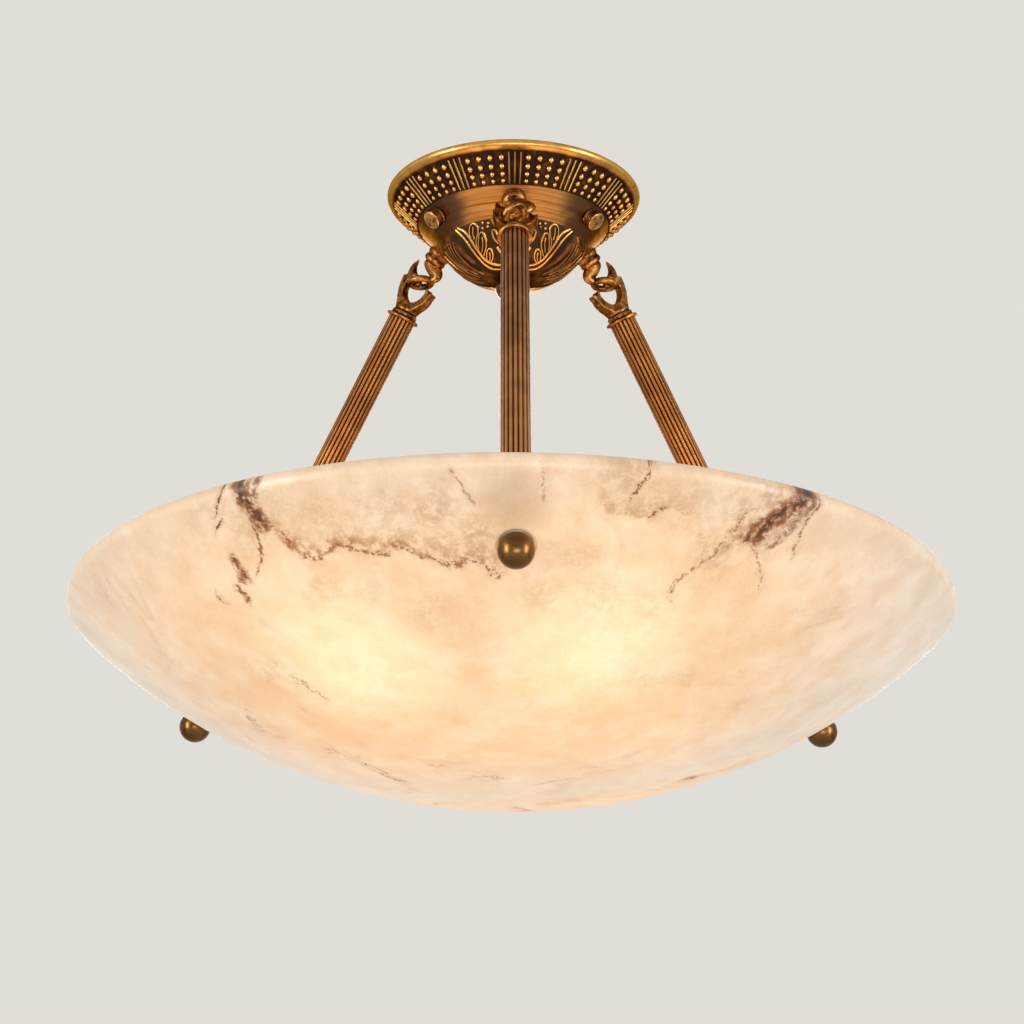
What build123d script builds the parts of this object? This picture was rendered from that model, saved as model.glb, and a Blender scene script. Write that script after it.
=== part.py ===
from build123d import *
import math
import os

# Alabaster bowl pendant on three reeded brass arms.
# Millimetres. +Z is up, the origin is on the ceiling in the middle of the canopy,
# and the front of the pendant, with arm 1, faces -Y.

# ---------------------------------------------------------------- driving dimensions
# Whole pendant
overall_drop = 370.0            # ceiling to the lowest point of the bowl
arm_azimuths = (0.0, 120.0, -120.0)      # degrees from the front, towards +X
screw_azimuths = (60.0, -60.0, 180.0)    # canopy screws, between the arms
lamp_azimuths = (-90.0, 30.0, 150.0)     # lampholders

# Alabaster bowl: a spherical cap of even wall with a fully rounded rim
bowl_sphere_radius = 368.0
bowl_width = 504.0
bowl_wall = 12.0
rod_hole_radius = 4.5
inner_spot_radius = 13.0        # flat cut for the foot's washer
inner_spot_depth = 1.6
outer_spot_radius = 10.5        # flat cut for the ball nut's washer
outer_spot_depth = 2.2

# Canopy: rolled edge, then one 45 degree slope shared by the cast plate and the turned band
canopy_radius = 76.1
edge_roll_radius = 2.6
slope_top_inset = 4.1           # from the canopy's radius to the top of the slope
slope_top_drop = 6.0
plate_slope_length = 21.2
band_slope_length = 19.8
canopy_wall = 2.4
edge_inner_inset = 5.6
lap_length = 4.0                # the band's tongue behind the cast plate, and the cup's behind the band
lap_split = 1.2                 # depth at which a lap divides the wall
rib_groups = 12
ribs_per_group = 3
rib_pitch = 2.3                 # degrees between the ribs of one group
rib_width = 1.1
rib_height = 0.8
rib_margin = 1.0                # from a rib's ends to the ends of the slope

# Leaf cup closing the canopy
cup_depth = 20.6
cup_floor_radius = 14.0
cup_bulge_radius = 31.0
cup_bulge_depth = 13.6
cup_wall = 2.0

# Mounting plate on the ceiling box
mounting_plate_radius = 58.0
mounting_plate_thickness = 2.5
slot_spacing = 88.9
slot_length = 15.0
slot_width = 5.4
leg_width = 14.0
leg_inner_radius = 54.0
leg_thickness = 2.5
leg_tab_half_length = 6.5
leg_tab_gap = 0.5               # between the tab and the canopy wall
earth_screw_x = -28.0
earth_screw_radius = 2.0
earth_head_radius = 3.6
earth_head_height = 2.4

# Canopy screws: knurled heads that hold the canopy to the plate's legs
canopy_screw_slope_pos = 28.4   # along the slope, from its top
canopy_screw_radius = 2.5
canopy_screw_head_radius = 5.7
canopy_screw_head_height = 6.6
canopy_screw_dome = 0.9
canopy_screw_length = 9.0       # under the head
canopy_screw_hole_play = 0.3

# Canopy hooks: collar, twisted flat bar and eye
hook_slope_pos = 30.0           # along the slope, from its top
hook_collar_radius = 7.3
hook_collar_height = 3.2        # each of two turned rings
hook_neck_radius = 5.6
hook_groove = 0.8
hook_stud_radius = 4.0
hook_stud_length = 12.0
hook_nut_across_flats = 13.0
hook_nut_height = 5.0
hook_nut_seat = 0.5             # keeps the flat nut clear of the curved inside of the band
bar_start_reach = 5.0           # how far the bar follows the collar's axis
bar_curl_reach = 12.0           # how far it swings out before it curls into the eye
bar_widths = (8.4, 9.0, 8.4, 7.0, 5.4, 4.3)
bar_thicknesses = (7.6, 6.0, 5.6, 5.0, 4.5, 4.2)
bar_stations = (0.0, 0.25, 0.5, 0.72, 0.88, 1.0)
eye_radius = 6.4                # to the middle of the wire
eye_wire_radius = 2.1

# Arms: the arm's axis runs through the middle of the eye it hangs from
eye_from_axis = 64.5
eye_drop = 43.5
arm_lean = 30.67                # degrees from the vertical
claw_turns = (-90.0, 0.0, 0.0)  # the front claw is turned a quarter round its arm
claw_height = 25.7              # top of the tube to the middle of the eye
claw_clearance = 0.3            # claw to eye
claw_flange_radius = 10.2
claw_flange_height = 2.2
claw_flange_edge = 0.8          # rounding of the flange's rim
claw_ring_radius = 8.0
claw_ring_height = 2.6
claw_ring_gap = 0.7             # groove between the two turned rings
claw_neck_radius = 6.8
claw_neck_blend = 3.5           # height of the cone from the upper ring into the prongs
claw_spigot_length = 12.0
beak_half_width = 1.7           # where the beak dips into the eye
claw_half_widths = ((-22.0, 5.6), (-14.0, 4.0), (-6.0, 3.1), (2.0, 2.8), (7.0, 1.9), (13.0, 0.5))

tube_reeds = 18
tube_radius = 8.15              # over the reeds
reed_radius = 1.28
tube_bore_radius = 5.2
rod_radius = 3.0
thread_fit = 0.05               # radial clearance of a rod in its thread
spigot_fit = 0.05               # radial clearance of a spigot in the tube
foot_height = 9.0
foot_flange_radius = 11.0
foot_flange_height = 4.0
foot_neck_radius = 8.6
foot_spigot_length = 9.0
washer_radius = 10.6
inner_washer_thickness = 1.5
outer_washer_radius = 9.0
outer_washer_thickness = 1.0

# Ball nuts under the bowl
ball_radius = 9.5
ball_height = 14.5
ball_seat_gap = 0.1
ball_bore_depth = 11.0
rod_end_gap = 1.0               # between the rod's end and the bottom of the ball's hole

# Centre stem
nipple_radius = 5.0
nipple_bore_radius = 3.2
nipple_top = -0.4
nipple_nut_across_flats = 17.0
nipple_nut_height = 4.0
cup_knob_radius = 10.5
cup_knob_height = 12.0
coupling_radius = 7.4
coupling_height = 13.0
coupling_waist_radius = 6.6
nipple_grip = 5.0               # how far the nipple reaches into the coupling
nipple_stem_gap = 1.0           # between the nipple and the stem inside the coupling
stem_radius = 5.8
stem_bore_radius = 4.2

# Lamp cluster
lamp_drop = 302.0               # ceiling to the lamps' axes
hub_radius = 17.0
hub_height = 30.0
hub_shoulder = 6.0
hub_boss_radius = 11.0
hub_boss_reach = 21.0
hub_socket_depth = 10.0         # how far the stem reaches into the hub
finial_radius = 8.0
finial_height = 16.0
finial_flange_height = 2.4
finial_waist_radius = 3.6
finial_ball_radius = 6.0
holder_radius = 17.0
holder_length = 42.0
holder_rear_radius = 13.5
shell_wall = 0.6
cap_radius = 13.0
cap_length = 22.0
cap_fit = 0.05                  # radial clearance of the lamp's cap in the screw shell
cap_tip_radius = 4.5
cap_tip_height = 3.0
contact_thickness = 1.0
contact_gap = 0.2
globe_radius = 22.5
globe_neck_radius = 12.2
globe_offset = 30.0             # end of the cap to the middle of the globe
glass_wall = 1.0
glass_tuck = 1.0                # how far the glass reaches into the cap

# Terminal block inside the canopy
terminal_length = 24.0
terminal_width = 12.0
terminal_height = 10.0
terminal_ways = 3
terminal_hole_radius = 1.6
terminal_y = 26.0

# ---------------------------------------------------------------- derived geometry
lean = math.radians(arm_lean)
bowl_centre_z = bowl_sphere_radius - overall_drop
slope_top_radius = canopy_radius - slope_top_inset
root_half = math.sqrt(0.5)      # sine and cosine of the 45 degree slope

radial_plane = Plane(origin=(0, 0, 0), x_dir=(0, -1, 0), z_dir=(-1, 0, 0))


def slope_point(along, depth):
    """Radius and height of a point on the canopy's slope, depth counted into the wall."""
    radius = slope_top_radius - (along + depth) * root_half
    height = -slope_top_drop + (depth - along) * root_half
    return radius, height


def at_azimuth(piece, azimuth):
    """Turn a piece built towards the front to its azimuth."""
    return Location((0, 0, 0), (0, 0, azimuth)) * piece


def closed_face(pieces):
    """Face inside a closed chain of lines, polylines, arcs and splines."""
    return make_face([edge for piece in pieces for edge in piece.edges()])


def turned(outline):
    """Solid of revolution about Z of an outline in radius and height, points or curves."""
    if isinstance(outline[0], tuple):
        outline = [Polyline(*outline, close=True)]
    return revolve(Plane.XZ * closed_face(outline), Axis.Z)


def slope_frame(along):
    """Frame on the front of the slope: Z out of the wall, X down the slope's side."""
    radius, height = slope_point(along, 0.0)
    return Plane(origin=(0, -radius, height), x_dir=(1, 0, 0), z_dir=(0, -root_half, -root_half))


def arm_frame(turn):
    """Frame of the front arm: origin in the eye, Z up the arm, X outwards before the turn."""
    upright = Plane(
        origin=(0, -eye_from_axis, -eye_drop),
        x_dir=(0, -math.cos(lean), math.sin(lean)),
        z_dir=(0, math.sin(lean), math.cos(lean)),
    )
    return Plane(upright.location * Location((0, 0, 0), (0, 0, turn)))


def on_arm(piece, number):
    """Place a piece built in the arm's frame on arm 1, 2 or 3."""
    frame = arm_frame(claw_turns[number])
    return at_azimuth(frame.location * piece, arm_azimuths[number])


def reach_to_sphere(radius):
    """Distance down the arm's axis from the eye to a sphere about the bowl's centre."""
    offset_radius = eye_from_axis
    offset_height = -eye_drop - bowl_centre_z
    half_b = offset_radius * math.sin(lean) - offset_height * math.cos(lean)
    constant = offset_radius ** 2 + offset_height ** 2 - radius ** 2
    return -half_b + math.sqrt(half_b ** 2 - constant)


inner_seat = reach_to_sphere(bowl_sphere_radius - bowl_wall) + inner_spot_depth
outer_seat = reach_to_sphere(bowl_sphere_radius) - outer_spot_depth
tube_bottom = inner_seat - inner_washer_thickness - foot_height
rod_top = claw_height - claw_ring_height
ball_base = outer_seat + outer_washer_thickness + ball_seat_gap
rod_bottom = ball_base + ball_bore_depth - rod_end_gap

nodes = {}


# ---------------------------------------------------------------- bowl
def bowl():
    middle_radius = bowl_sphere_radius - bowl_wall / 2
    rim_angle = math.asin((bowl_width / 2 - bowl_wall / 2) / middle_radius)

    def on_sphere(radius, angle):
        return (radius * math.sin(angle), bowl_centre_z - radius * math.cos(angle))

    inner_radius = bowl_sphere_radius - bowl_wall
    rim_middle = on_sphere(middle_radius, rim_angle)
    rim_nose = (
        rim_middle[0] + bowl_wall / 2 * math.cos(rim_angle),
        rim_middle[1] + bowl_wall / 2 * math.sin(rim_angle),
    )
    outer_arc = ThreePointArc(
        on_sphere(bowl_sphere_radius, 0),
        on_sphere(bowl_sphere_radius, rim_angle / 2),
        on_sphere(bowl_sphere_radius, rim_angle),
    )
    nose_arc = ThreePointArc(
        on_sphere(bowl_sphere_radius, rim_angle), rim_nose, on_sphere(inner_radius, rim_angle)
    )
    inner_arc = ThreePointArc(
        on_sphere(inner_radius, rim_angle),
        on_sphere(inner_radius, rim_angle / 2),
        on_sphere(inner_radius, 0),
    )
    axis_line = Line(on_sphere(inner_radius, 0), on_sphere(bowl_sphere_radius, 0))
    cap = turned([outer_arc, nose_arc, inner_arc, axis_line])

    # Each arm's rod passes through a drilled hole between two flats cut square to the arm.
    cutters = []
    for number in range(len(arm_azimuths)):
        hole = Pos(0, 0, -outer_seat) * Cylinder(rod_hole_radius, 4 * bowl_wall)
        inner_spot = Pos(0, 0, -inner_seat) * Cylinder(
            inner_spot_radius, bowl_wall, align=(Align.CENTER, Align.CENTER, Align.MIN)
        )
        outer_spot = Pos(0, 0, -outer_seat) * Cylinder(
            outer_spot_radius, bowl_wall, align=(Align.CENTER, Align.CENTER, Align.MAX)
        )
        cutters += [on_arm(hole, number), on_arm(inner_spot, number), on_arm(outer_spot, number)]
    for cutter in cutters:
        cap = cap - cutter
    return cap


# ---------------------------------------------------------------- canopy
def canopy_rim_plate():
    edge_radius = canopy_radius - edge_roll_radius
    end = plate_slope_length
    inner_radius = canopy_radius - edge_inner_inset
    inner_height = inner_radius - slope_point(0, canopy_wall)[0] + slope_point(0, canopy_wall)[1]
    top = Line((inner_radius, 0), (edge_radius, 0))
    roll = ThreePointArc(
        (edge_radius, 0), (canopy_radius, -edge_roll_radius), (edge_radius, -2 * edge_roll_radius)
    )
    outline = Polyline(
        (edge_radius, -2 * edge_roll_radius),
        slope_point(0, 0),
        slope_point(end, 0),
        slope_point(end, lap_split),
        slope_point(end - lap_length, lap_split),
        slope_point(end - lap_length, canopy_wall),
        (inner_radius, inner_height),
        (inner_radius, 0),
    )
    plate = turned([top, roll, outline])

    # Raised ribs in groups, running down the slope.
    rib_length = plate_slope_length - 2 * rib_margin
    rib_outline = Polygon(
        (-rib_width / 2, -rib_height),
        (rib_width / 2, -rib_height),
        (rib_width / 2, rib_height / 2),
        (0, rib_height),
        (-rib_width / 2, rib_height / 2),
        align=None,
    )
    rib_start = slope_frame(rib_margin).origin
    rib_plane = Plane(origin=rib_start, x_dir=(1, 0, 0), z_dir=(0, root_half, -root_half))
    rib = extrude(rib_plane * rib_outline, rib_length)
    for group in range(rib_groups):
        for index in range(ribs_per_group):
            spread = (index - (ribs_per_group - 1) / 2) * rib_pitch
            plate = plate + at_azimuth(rib, group * 360 / rib_groups + spread)
    return plate


def canopy_band():
    start = plate_slope_length
    end = plate_slope_length + band_slope_length
    band = turned([
        slope_point(start - lap_length, lap_split),
        slope_point(start, lap_split),
        slope_point(start, 0),
        slope_point(end, 0),
        slope_point(end, lap_split),
        slope_point(end - lap_length, lap_split),
        slope_point(end - lap_length, canopy_wall),
        slope_point(start - lap_length, canopy_wall),
    ])
    for azimuth in screw_azimuths:
        hole = Cylinder(canopy_screw_radius + canopy_screw_hole_play, 6 * canopy_wall)
        band = band - at_azimuth(slope_frame(canopy_screw_slope_pos).location * hole, azimuth)
    for azimuth in arm_azimuths:
        hole = Cylinder(hook_stud_radius + thread_fit, 6 * canopy_wall)
        band = band - at_azimuth(slope_frame(hook_slope_pos).location * hole, azimuth)
    return band


def leaf_cup():
    top = plate_slope_length + band_slope_length
    top_radius, top_height = slope_point(top, 0)
    floor_height = top_height - cup_depth
    outer_arc = ThreePointArc(
        (top_radius, top_height),
        (cup_bulge_radius, top_height - cup_bulge_depth),
        (cup_floor_radius, floor_height),
    )
    floor = Polyline(
        (cup_floor_radius, floor_height),
        (nipple_radius + thread_fit, floor_height),
        (nipple_radius + thread_fit, floor_height + cup_wall),
        (cup_floor_radius, floor_height + cup_wall),
    )
    inner_start = slope_point(top, canopy_wall)
    inner_arc = ThreePointArc(
        (cup_floor_radius, floor_height + cup_wall),
        (cup_bulge_radius - cup_wall * root_half, top_height - cup_bulge_depth + cup_wall * root_half),
        inner_start,
    )
    lap = Polyline(
        inner_start,
        slope_point(top - lap_length, canopy_wall),
        slope_point(top - lap_length, lap_split),
        slope_point(top, lap_split),
        (top_radius, top_height),
    )
    return turned([outer_arc, floor, inner_arc, lap])


# ---------------------------------------------------------------- mounting plate
def mounting_plate():
    plate = Pos(0, 0, -mounting_plate_thickness / 2) * Cylinder(
        mounting_plate_radius, mounting_plate_thickness
    )
    leg_outer = leg_inner_radius + leg_thickness
    tab_middle = slope_point(canopy_screw_slope_pos, canopy_wall + leg_tab_gap)
    tab_top_shift = leg_outer - tab_middle[0]
    lower = leg_tab_half_length * root_half
    thick = leg_thickness * root_half
    leg_outline = Polyline(
        (leg_inner_radius, -mounting_plate_thickness / 2),
        (leg_outer, -mounting_plate_thickness / 2),
        (leg_outer, tab_middle[1] + tab_top_shift),
        (tab_middle[0] - lower, tab_middle[1] - lower),
        (tab_middle[0] - lower - thick, tab_middle[1] - lower + thick),
        (leg_inner_radius, tab_middle[1] + tab_top_shift + 2 * thick - leg_thickness),
        close=True,
    )
    leg = extrude(radial_plane * make_face(leg_outline), leg_width / 2, both=True)
    screw_hole = slope_frame(canopy_screw_slope_pos).location * Cylinder(
        canopy_screw_radius + thread_fit, 8 * leg_thickness
    )
    for azimuth in screw_azimuths:
        plate = plate + at_azimuth(leg, azimuth)
    for azimuth in screw_azimuths:
        plate = plate - at_azimuth(screw_hole, azimuth)
    for side in (-1, 1):
        slot = extrude(SlotOverall(slot_length, slot_width), 4 * mounting_plate_thickness, both=True)
        plate = plate - Pos(side * slot_spacing / 2, 0, 0) * slot
    plate = plate - Cylinder(nipple_radius + thread_fit, 4 * mounting_plate_thickness)
    earth_hole = Cylinder(earth_screw_radius + thread_fit, 4 * mounting_plate_thickness)
    return plate - Pos(earth_screw_x, 0, 0) * earth_hole


def earth_screw():
    head = Pos(earth_screw_x, 0, -mounting_plate_thickness) * Cylinder(
        earth_head_radius, earth_head_height, align=(Align.CENTER, Align.CENTER, Align.MAX)
    )
    shank = Pos(earth_screw_x, 0, -mounting_plate_thickness) * Cylinder(
        earth_screw_radius, mounting_plate_thickness - 0.5, align=(Align.CENTER, Align.CENTER, Align.MIN)
    )
    slot = Pos(earth_screw_x, 0, -mounting_plate_thickness - earth_head_height) * Box(
        2 * earth_head_radius, 1.0, 1.6
    )
    return head + shank - slot


def terminal_block():
    body = Box(terminal_length, terminal_width, terminal_height)
    pitch = terminal_length / terminal_ways
    for way in range(terminal_ways):
        x = (way - (terminal_ways - 1) / 2) * pitch
        body = body - Pos(x, 0, -terminal_height / 5) * Rot(90, 0, 0) * Cylinder(
            terminal_hole_radius, 2 * terminal_width
        )
    return Pos(0, terminal_y, -mounting_plate_thickness - terminal_height / 2) * body


def canopy_screw():
    """Knurled screw on the front of the slope, head outwards."""
    head = Cylinder(
        canopy_screw_head_radius, canopy_screw_head_height, align=(Align.CENTER, Align.CENTER, Align.MIN)
    )
    top_edge = head.edges().sort_by(Axis.Z)[-1]
    head = fillet(top_edge, canopy_screw_dome)
    shank = Cylinder(
        canopy_screw_radius, canopy_screw_length, align=(Align.CENTER, Align.CENTER, Align.MAX)
    )
    screw = Pos(0, 0, ball_seat_gap) * (head + shank)
    return slope_frame(canopy_screw_slope_pos).location * screw


# ---------------------------------------------------------------- canopy hooks
def eye_direction():
    """From the eye's joint with its bar towards its outer side, in the arm's frame."""
    return Vector(math.cos(lean), 0, -math.sin(lean))


def eye_ring(wire_radius):
    """The eye's ring in the arm's frame."""
    plane = Plane(origin=(0, 0, 0), x_dir=(0, 1, 0), z_dir=(math.sin(lean), 0, math.cos(lean)))
    return plane.location * Torus(eye_radius, wire_radius)


def bezier_point(points, t):
    p0, p1, p2, p3 = points
    return p0 * (1 - t) ** 3 + p1 * (3 * t * (1 - t) ** 2) + p2 * (3 * t * t * (1 - t)) + p3 * t ** 3


def bezier_heading(points, t):
    p0, p1, p2, p3 = points
    heading = (p1 - p0) * (1 - t) ** 2 + (p2 - p1) * (2 * t * (1 - t)) + (p3 - p2) * t * t
    return heading.normalized()


def canopy_hook(turn):
    """Stud, two turned collar rings, a flattened bar that swings round, and the eye."""
    base = slope_frame(hook_slope_pos)
    collar_height = 2 * hook_collar_height + hook_groove
    ring_edge = hook_collar_height / 2
    half = Polyline(
        (0, -hook_stud_length),
        (hook_stud_radius, -hook_stud_length),
        (hook_stud_radius, -1.0),
        (hook_collar_radius, -1.0),
        (hook_collar_radius, hook_collar_height - ring_edge),
        (hook_collar_radius - ring_edge / 2, hook_collar_height),
        (hook_neck_radius, hook_collar_height),
        (hook_neck_radius, hook_collar_height + hook_groove),
        (hook_collar_radius - ring_edge / 2, hook_collar_height + hook_groove),
        (hook_collar_radius - 0.4, hook_collar_height + hook_groove + ring_edge / 2),
        (hook_collar_radius - 0.4, collar_height - ring_edge / 2),
        (hook_neck_radius, collar_height + 0.6),
        (0, collar_height + 0.6),
        close=True,
    )
    collar = base.location * revolve(Plane.XZ * make_face(half), Axis.Z)
    # The collar's foot is shaped to the band it stands on.
    band_body = turned([
        (0, slope_point(0, 0)[1]),
        slope_point(0, 0),
        slope_point(plate_slope_length + band_slope_length, 0),
        (0, slope_point(plate_slope_length + band_slope_length, 0)[1]),
    ])
    stud = base.location * Cylinder(
        hook_stud_radius, hook_stud_length, align=(Align.CENTER, Align.CENTER, Align.MAX)
    )
    collar = collar - band_body + stud

    frame = arm_frame(turn)
    joint_dir = eye_direction()
    joint_local = joint_dir * (-eye_radius)
    swing_local = joint_dir * (-eye_radius - bar_curl_reach)
    start = Vector(*base.from_local_coords((0, 0, collar_height)))
    lead = Vector(*base.from_local_coords((0, 0, collar_height + bar_start_reach)))
    swing = Vector(*frame.from_local_coords(tuple(swing_local)))
    joint = Vector(*frame.from_local_coords(tuple(joint_local)))
    path = (start, lead, swing, joint)
    sections = []
    for t, width, thickness in zip(bar_stations, bar_widths, bar_thicknesses):
        heading = bezier_heading(path, t)
        flat = frame.y_dir - heading * frame.y_dir.dot(heading)
        plane = Plane(origin=bezier_point(path, t), x_dir=flat.normalized(), z_dir=heading)
        sections.append(plane * Ellipse(thickness / 2, width / 2))
    bar = loft(sections)
    return collar + bar + frame.location * eye_ring(eye_wire_radius)


def hook_lock_nut():
    radius = hook_nut_across_flats / 2 / math.cos(math.radians(30))
    nut = extrude(RegularPolygon(radius, 6), hook_nut_height)
    nut = nut - Cylinder(hook_stud_radius + thread_fit, 4 * hook_nut_height)
    seat = -canopy_wall - hook_nut_seat - hook_nut_height
    return slope_frame(hook_slope_pos).location * (Pos(0, 0, seat) * nut)


# ---------------------------------------------------------------- arms
def arm_claw():
    """Flange, turned rings and the open claw that hooks over the eye's wire."""
    top = -claw_height
    first = top + claw_flange_height
    second = first + claw_ring_height + claw_ring_gap
    neck_top = second + claw_ring_height
    neck_end = neck_top + claw_neck_blend
    bead = claw_ring_height / 4
    flange_flat = claw_flange_radius - claw_flange_edge
    edges = [
        Polyline(
            (0, neck_end),
            (0, top - claw_spigot_length),
            (tube_bore_radius - spigot_fit, top - claw_spigot_length),
            (tube_bore_radius - spigot_fit, top),
            (flange_flat, top),
        ),
        ThreePointArc(
            (flange_flat, top), (claw_flange_radius, (top + first) / 2), (flange_flat, first)
        ),
        Polyline(
            (flange_flat, first),
            (claw_neck_radius + 0.4, first),
            (claw_neck_radius + 0.4, first + bead / 2),
            (claw_ring_radius, first + bead),
            (claw_ring_radius, first + claw_ring_height),
            (claw_neck_radius, first + claw_ring_height + claw_ring_gap / 2),
            (claw_neck_radius, second),
            (claw_ring_radius - 0.6, second + bead),
            (claw_ring_radius - 0.6, neck_top - bead),
            (claw_neck_radius - 0.4, neck_top + bead),
            (claw_neck_radius - 1.6, neck_end),
            (0, neck_end),
        ),
    ]
    neck = turned(edges)

    wire = eye_direction() * eye_radius
    wire_x, wire_z = wire.X, wire.Z
    arch = eye_wire_radius + claw_clearance
    # Outline of the claw in the arm's plane, from the neck up the outer prong, over the
    # wire and down the beak, then round the gap and up the inner prong.
    neck_low = neck_top - 1.0
    prong_outer = Spline(
        (claw_neck_radius - 0.6, neck_low), (7.8, -15.5), (10.9, -9.6), (12.3, -4.4), (12.6, 0.8)
    )
    shoulder = Line((12.6, 0.8), (10.3, 1.5))
    horn_outer = Spline((10.3, 1.5), (11.4, 6.0), (11.0, 9.6), (9.2, 13.0))
    horn_tip = Line((9.2, 13.0), (8.7, 12.4))
    horn_inner = Spline((8.7, 12.4), (8.9, 9.4), (8.3, 6.6), (6.2, 4.2))
    beak_back = Spline((6.2, 4.2), (3.2, 3.6), (0.6, 1.4), (-0.2, -1.8))
    beak_tip = Line((-0.2, -1.8), (1.3, -2.6))
    arch_start = math.radians(168)
    arch_end = math.radians(-12)

    def on_arch(angle):
        return (wire_x + arch * math.cos(angle), wire_z + arch * math.sin(angle))

    beak_front = Line((1.3, -2.6), on_arch(arch_start))
    arch_arc = ThreePointArc(on_arch(arch_start), on_arch(math.radians(78)), on_arch(arch_end))
    prong_inner = Spline(on_arch(arch_end), (7.9, -6.8), (6.2, -10.4), (3.0, -13.2), (-1.4, -14.2))
    gap_inner = Spline((-1.4, -14.2), (-6.0, -12.0), (-8.2, -7.2), (-7.8, -2.9))
    inner_tip = Line((-7.8, -2.9), (-9.4, -2.6))
    spur = Polyline((-9.4, -2.6), (-10.9, -5.2), (-13.2, -4.0), (-13.6, -5.0), (-12.4, -7.8))
    inner_outer = Spline((-12.4, -7.8), (-11.6, -11.4), (-9.0, -15.2), (-claw_neck_radius + 0.6, neck_low))
    base = Line((-claw_neck_radius + 0.6, neck_low), (claw_neck_radius - 0.6, neck_low))
    outline = closed_face([
        prong_outer, shoulder, horn_outer, horn_tip, horn_inner, beak_back, beak_tip,
        beak_front, arch_arc, prong_inner, gap_inner, inner_tip, spur, inner_outer, base,
    ])
    blade = extrude(Plane.XZ * outline, claw_neck_radius, both=True)

    # Seen from the side the claw narrows from the neck to the point of the horn.
    left = [(-width, height) for height, width in claw_half_widths]
    right = [(width, height) for height, width in reversed(claw_half_widths)]
    taper = closed_face([
        Spline(*left), Line(left[-1], right[0]), Spline(*right), Line(right[-1], left[0])
    ])
    side = extrude(Plane.YZ * taper, 2 * claw_flange_radius, both=True)
    claw = neck + (blade & side)

    # The beak narrows on both sides to enter the eye.
    beak_base = wire_x + arch
    flank = Polyline(
        (-3.0, beak_half_width), (wire_x - arch, beak_half_width), (beak_base, claw_neck_radius / 2),
        (beak_base, claw_neck_radius), (-3.0, claw_neck_radius), close=True,
    )
    flank_cut = extrude(Plane(origin=(0, 0, wire_z - 1.0)) * make_face(flank), eye_radius)
    claw = claw - flank_cut - mirror(flank_cut, Plane.XZ)
    bore = Pos(0, 0, -rod_top) * Cylinder(
        rod_radius + thread_fit, 60, align=(Align.CENTER, Align.CENTER, Align.MAX)
    )
    # The arch is hollowed to the eye's wire, so that the claw sits on it all round.
    return claw - bore - eye_ring(eye_wire_radius + claw_clearance)


def arm_tube():
    pitch_radius = tube_radius - reed_radius
    section = Circle(pitch_radius)
    for index in range(tube_reeds):
        angle = 2 * math.pi * index / tube_reeds
        section = section + Pos(pitch_radius * math.cos(angle), pitch_radius * math.sin(angle)) * Circle(
            reed_radius
        )
    section = section - Circle(tube_bore_radius)
    return Pos(0, 0, -tube_bottom) * extrude(section, tube_bottom - claw_height)


def arm_rod():
    return Pos(0, 0, -rod_bottom) * Cylinder(
        rod_radius, rod_bottom - rod_top, align=(Align.CENTER, Align.CENTER, Align.MIN)
    )


def arm_foot():
    top = -tube_bottom
    base = top - foot_height
    bore = rod_radius + 0.4
    outline = [
        (bore, base),
        (foot_flange_radius, base),
        (foot_flange_radius, base + foot_flange_height - 1.2),
        (foot_flange_radius - 1.2, base + foot_flange_height),
        (foot_neck_radius - 0.8, base + foot_flange_height),
        (foot_neck_radius - 0.8, base + foot_flange_height + 1.0),
        (foot_neck_radius, base + foot_flange_height + 1.6),
        (foot_neck_radius, top),
        (tube_bore_radius - spigot_fit, top),
        (tube_bore_radius - spigot_fit, top + foot_spigot_length),
        (bore, top + foot_spigot_length),
    ]
    return turned(outline)


def washer(radius, thickness, top):
    """Flat washer on the rod, its upper face at a height in the arm's frame."""
    ring = Cylinder(radius, thickness, align=(Align.CENTER, Align.CENTER, Align.MAX))
    return Pos(0, 0, top) * (ring - Cylinder(rod_radius + 0.4, 4 * thickness))


def ball_nut():
    """Ball with a flat seat and a blind threaded hole, screwed on the rod from below."""
    seat_offset = ball_height - ball_radius
    ball = Pos(0, 0, -seat_offset) * Sphere(ball_radius)
    upper = Cylinder(2 * ball_radius, 2 * ball_radius, align=(Align.CENTER, Align.CENTER, Align.MIN))
    bore = Cylinder(
        rod_radius + thread_fit, ball_bore_depth, align=(Align.CENTER, Align.CENTER, Align.MAX)
    )
    return Pos(0, 0, -ball_base) * (ball - upper - bore)


# ---------------------------------------------------------------- centre stem
cup_bottom = slope_point(plate_slope_length + band_slope_length, 0)[1] - cup_depth
knob_bottom = cup_bottom - cup_knob_height
nipple_bottom = knob_bottom - nipple_grip
coupling_bottom = knob_bottom - coupling_height
hub_top = -lamp_drop + hub_height / 2
stem_top = nipple_bottom - nipple_stem_gap
stem_bottom = hub_top - hub_socket_depth


def tube_between(outer, bore, top, bottom):
    ring = Cylinder(outer, top - bottom, align=(Align.CENTER, Align.CENTER, Align.MIN))
    ring = ring - Cylinder(bore, 3 * (top - bottom))
    return Pos(0, 0, bottom) * ring


def centre_nipple():
    return tube_between(nipple_radius, nipple_bore_radius, nipple_top, nipple_bottom)


def nipple_nuts():
    """One nut under the mounting plate and one on the floor of the cup."""
    nut = extrude(
        RegularPolygon(nipple_nut_across_flats / 2 / math.cos(math.radians(30)), 6), nipple_nut_height
    )
    nut = nut - Cylinder(nipple_radius + thread_fit, 4 * nipple_nut_height)
    upper = Pos(0, 0, -mounting_plate_thickness - nipple_nut_height) * nut
    lower = Pos(0, 0, cup_bottom + cup_wall) * nut
    return Compound(children=[upper, lower])


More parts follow.
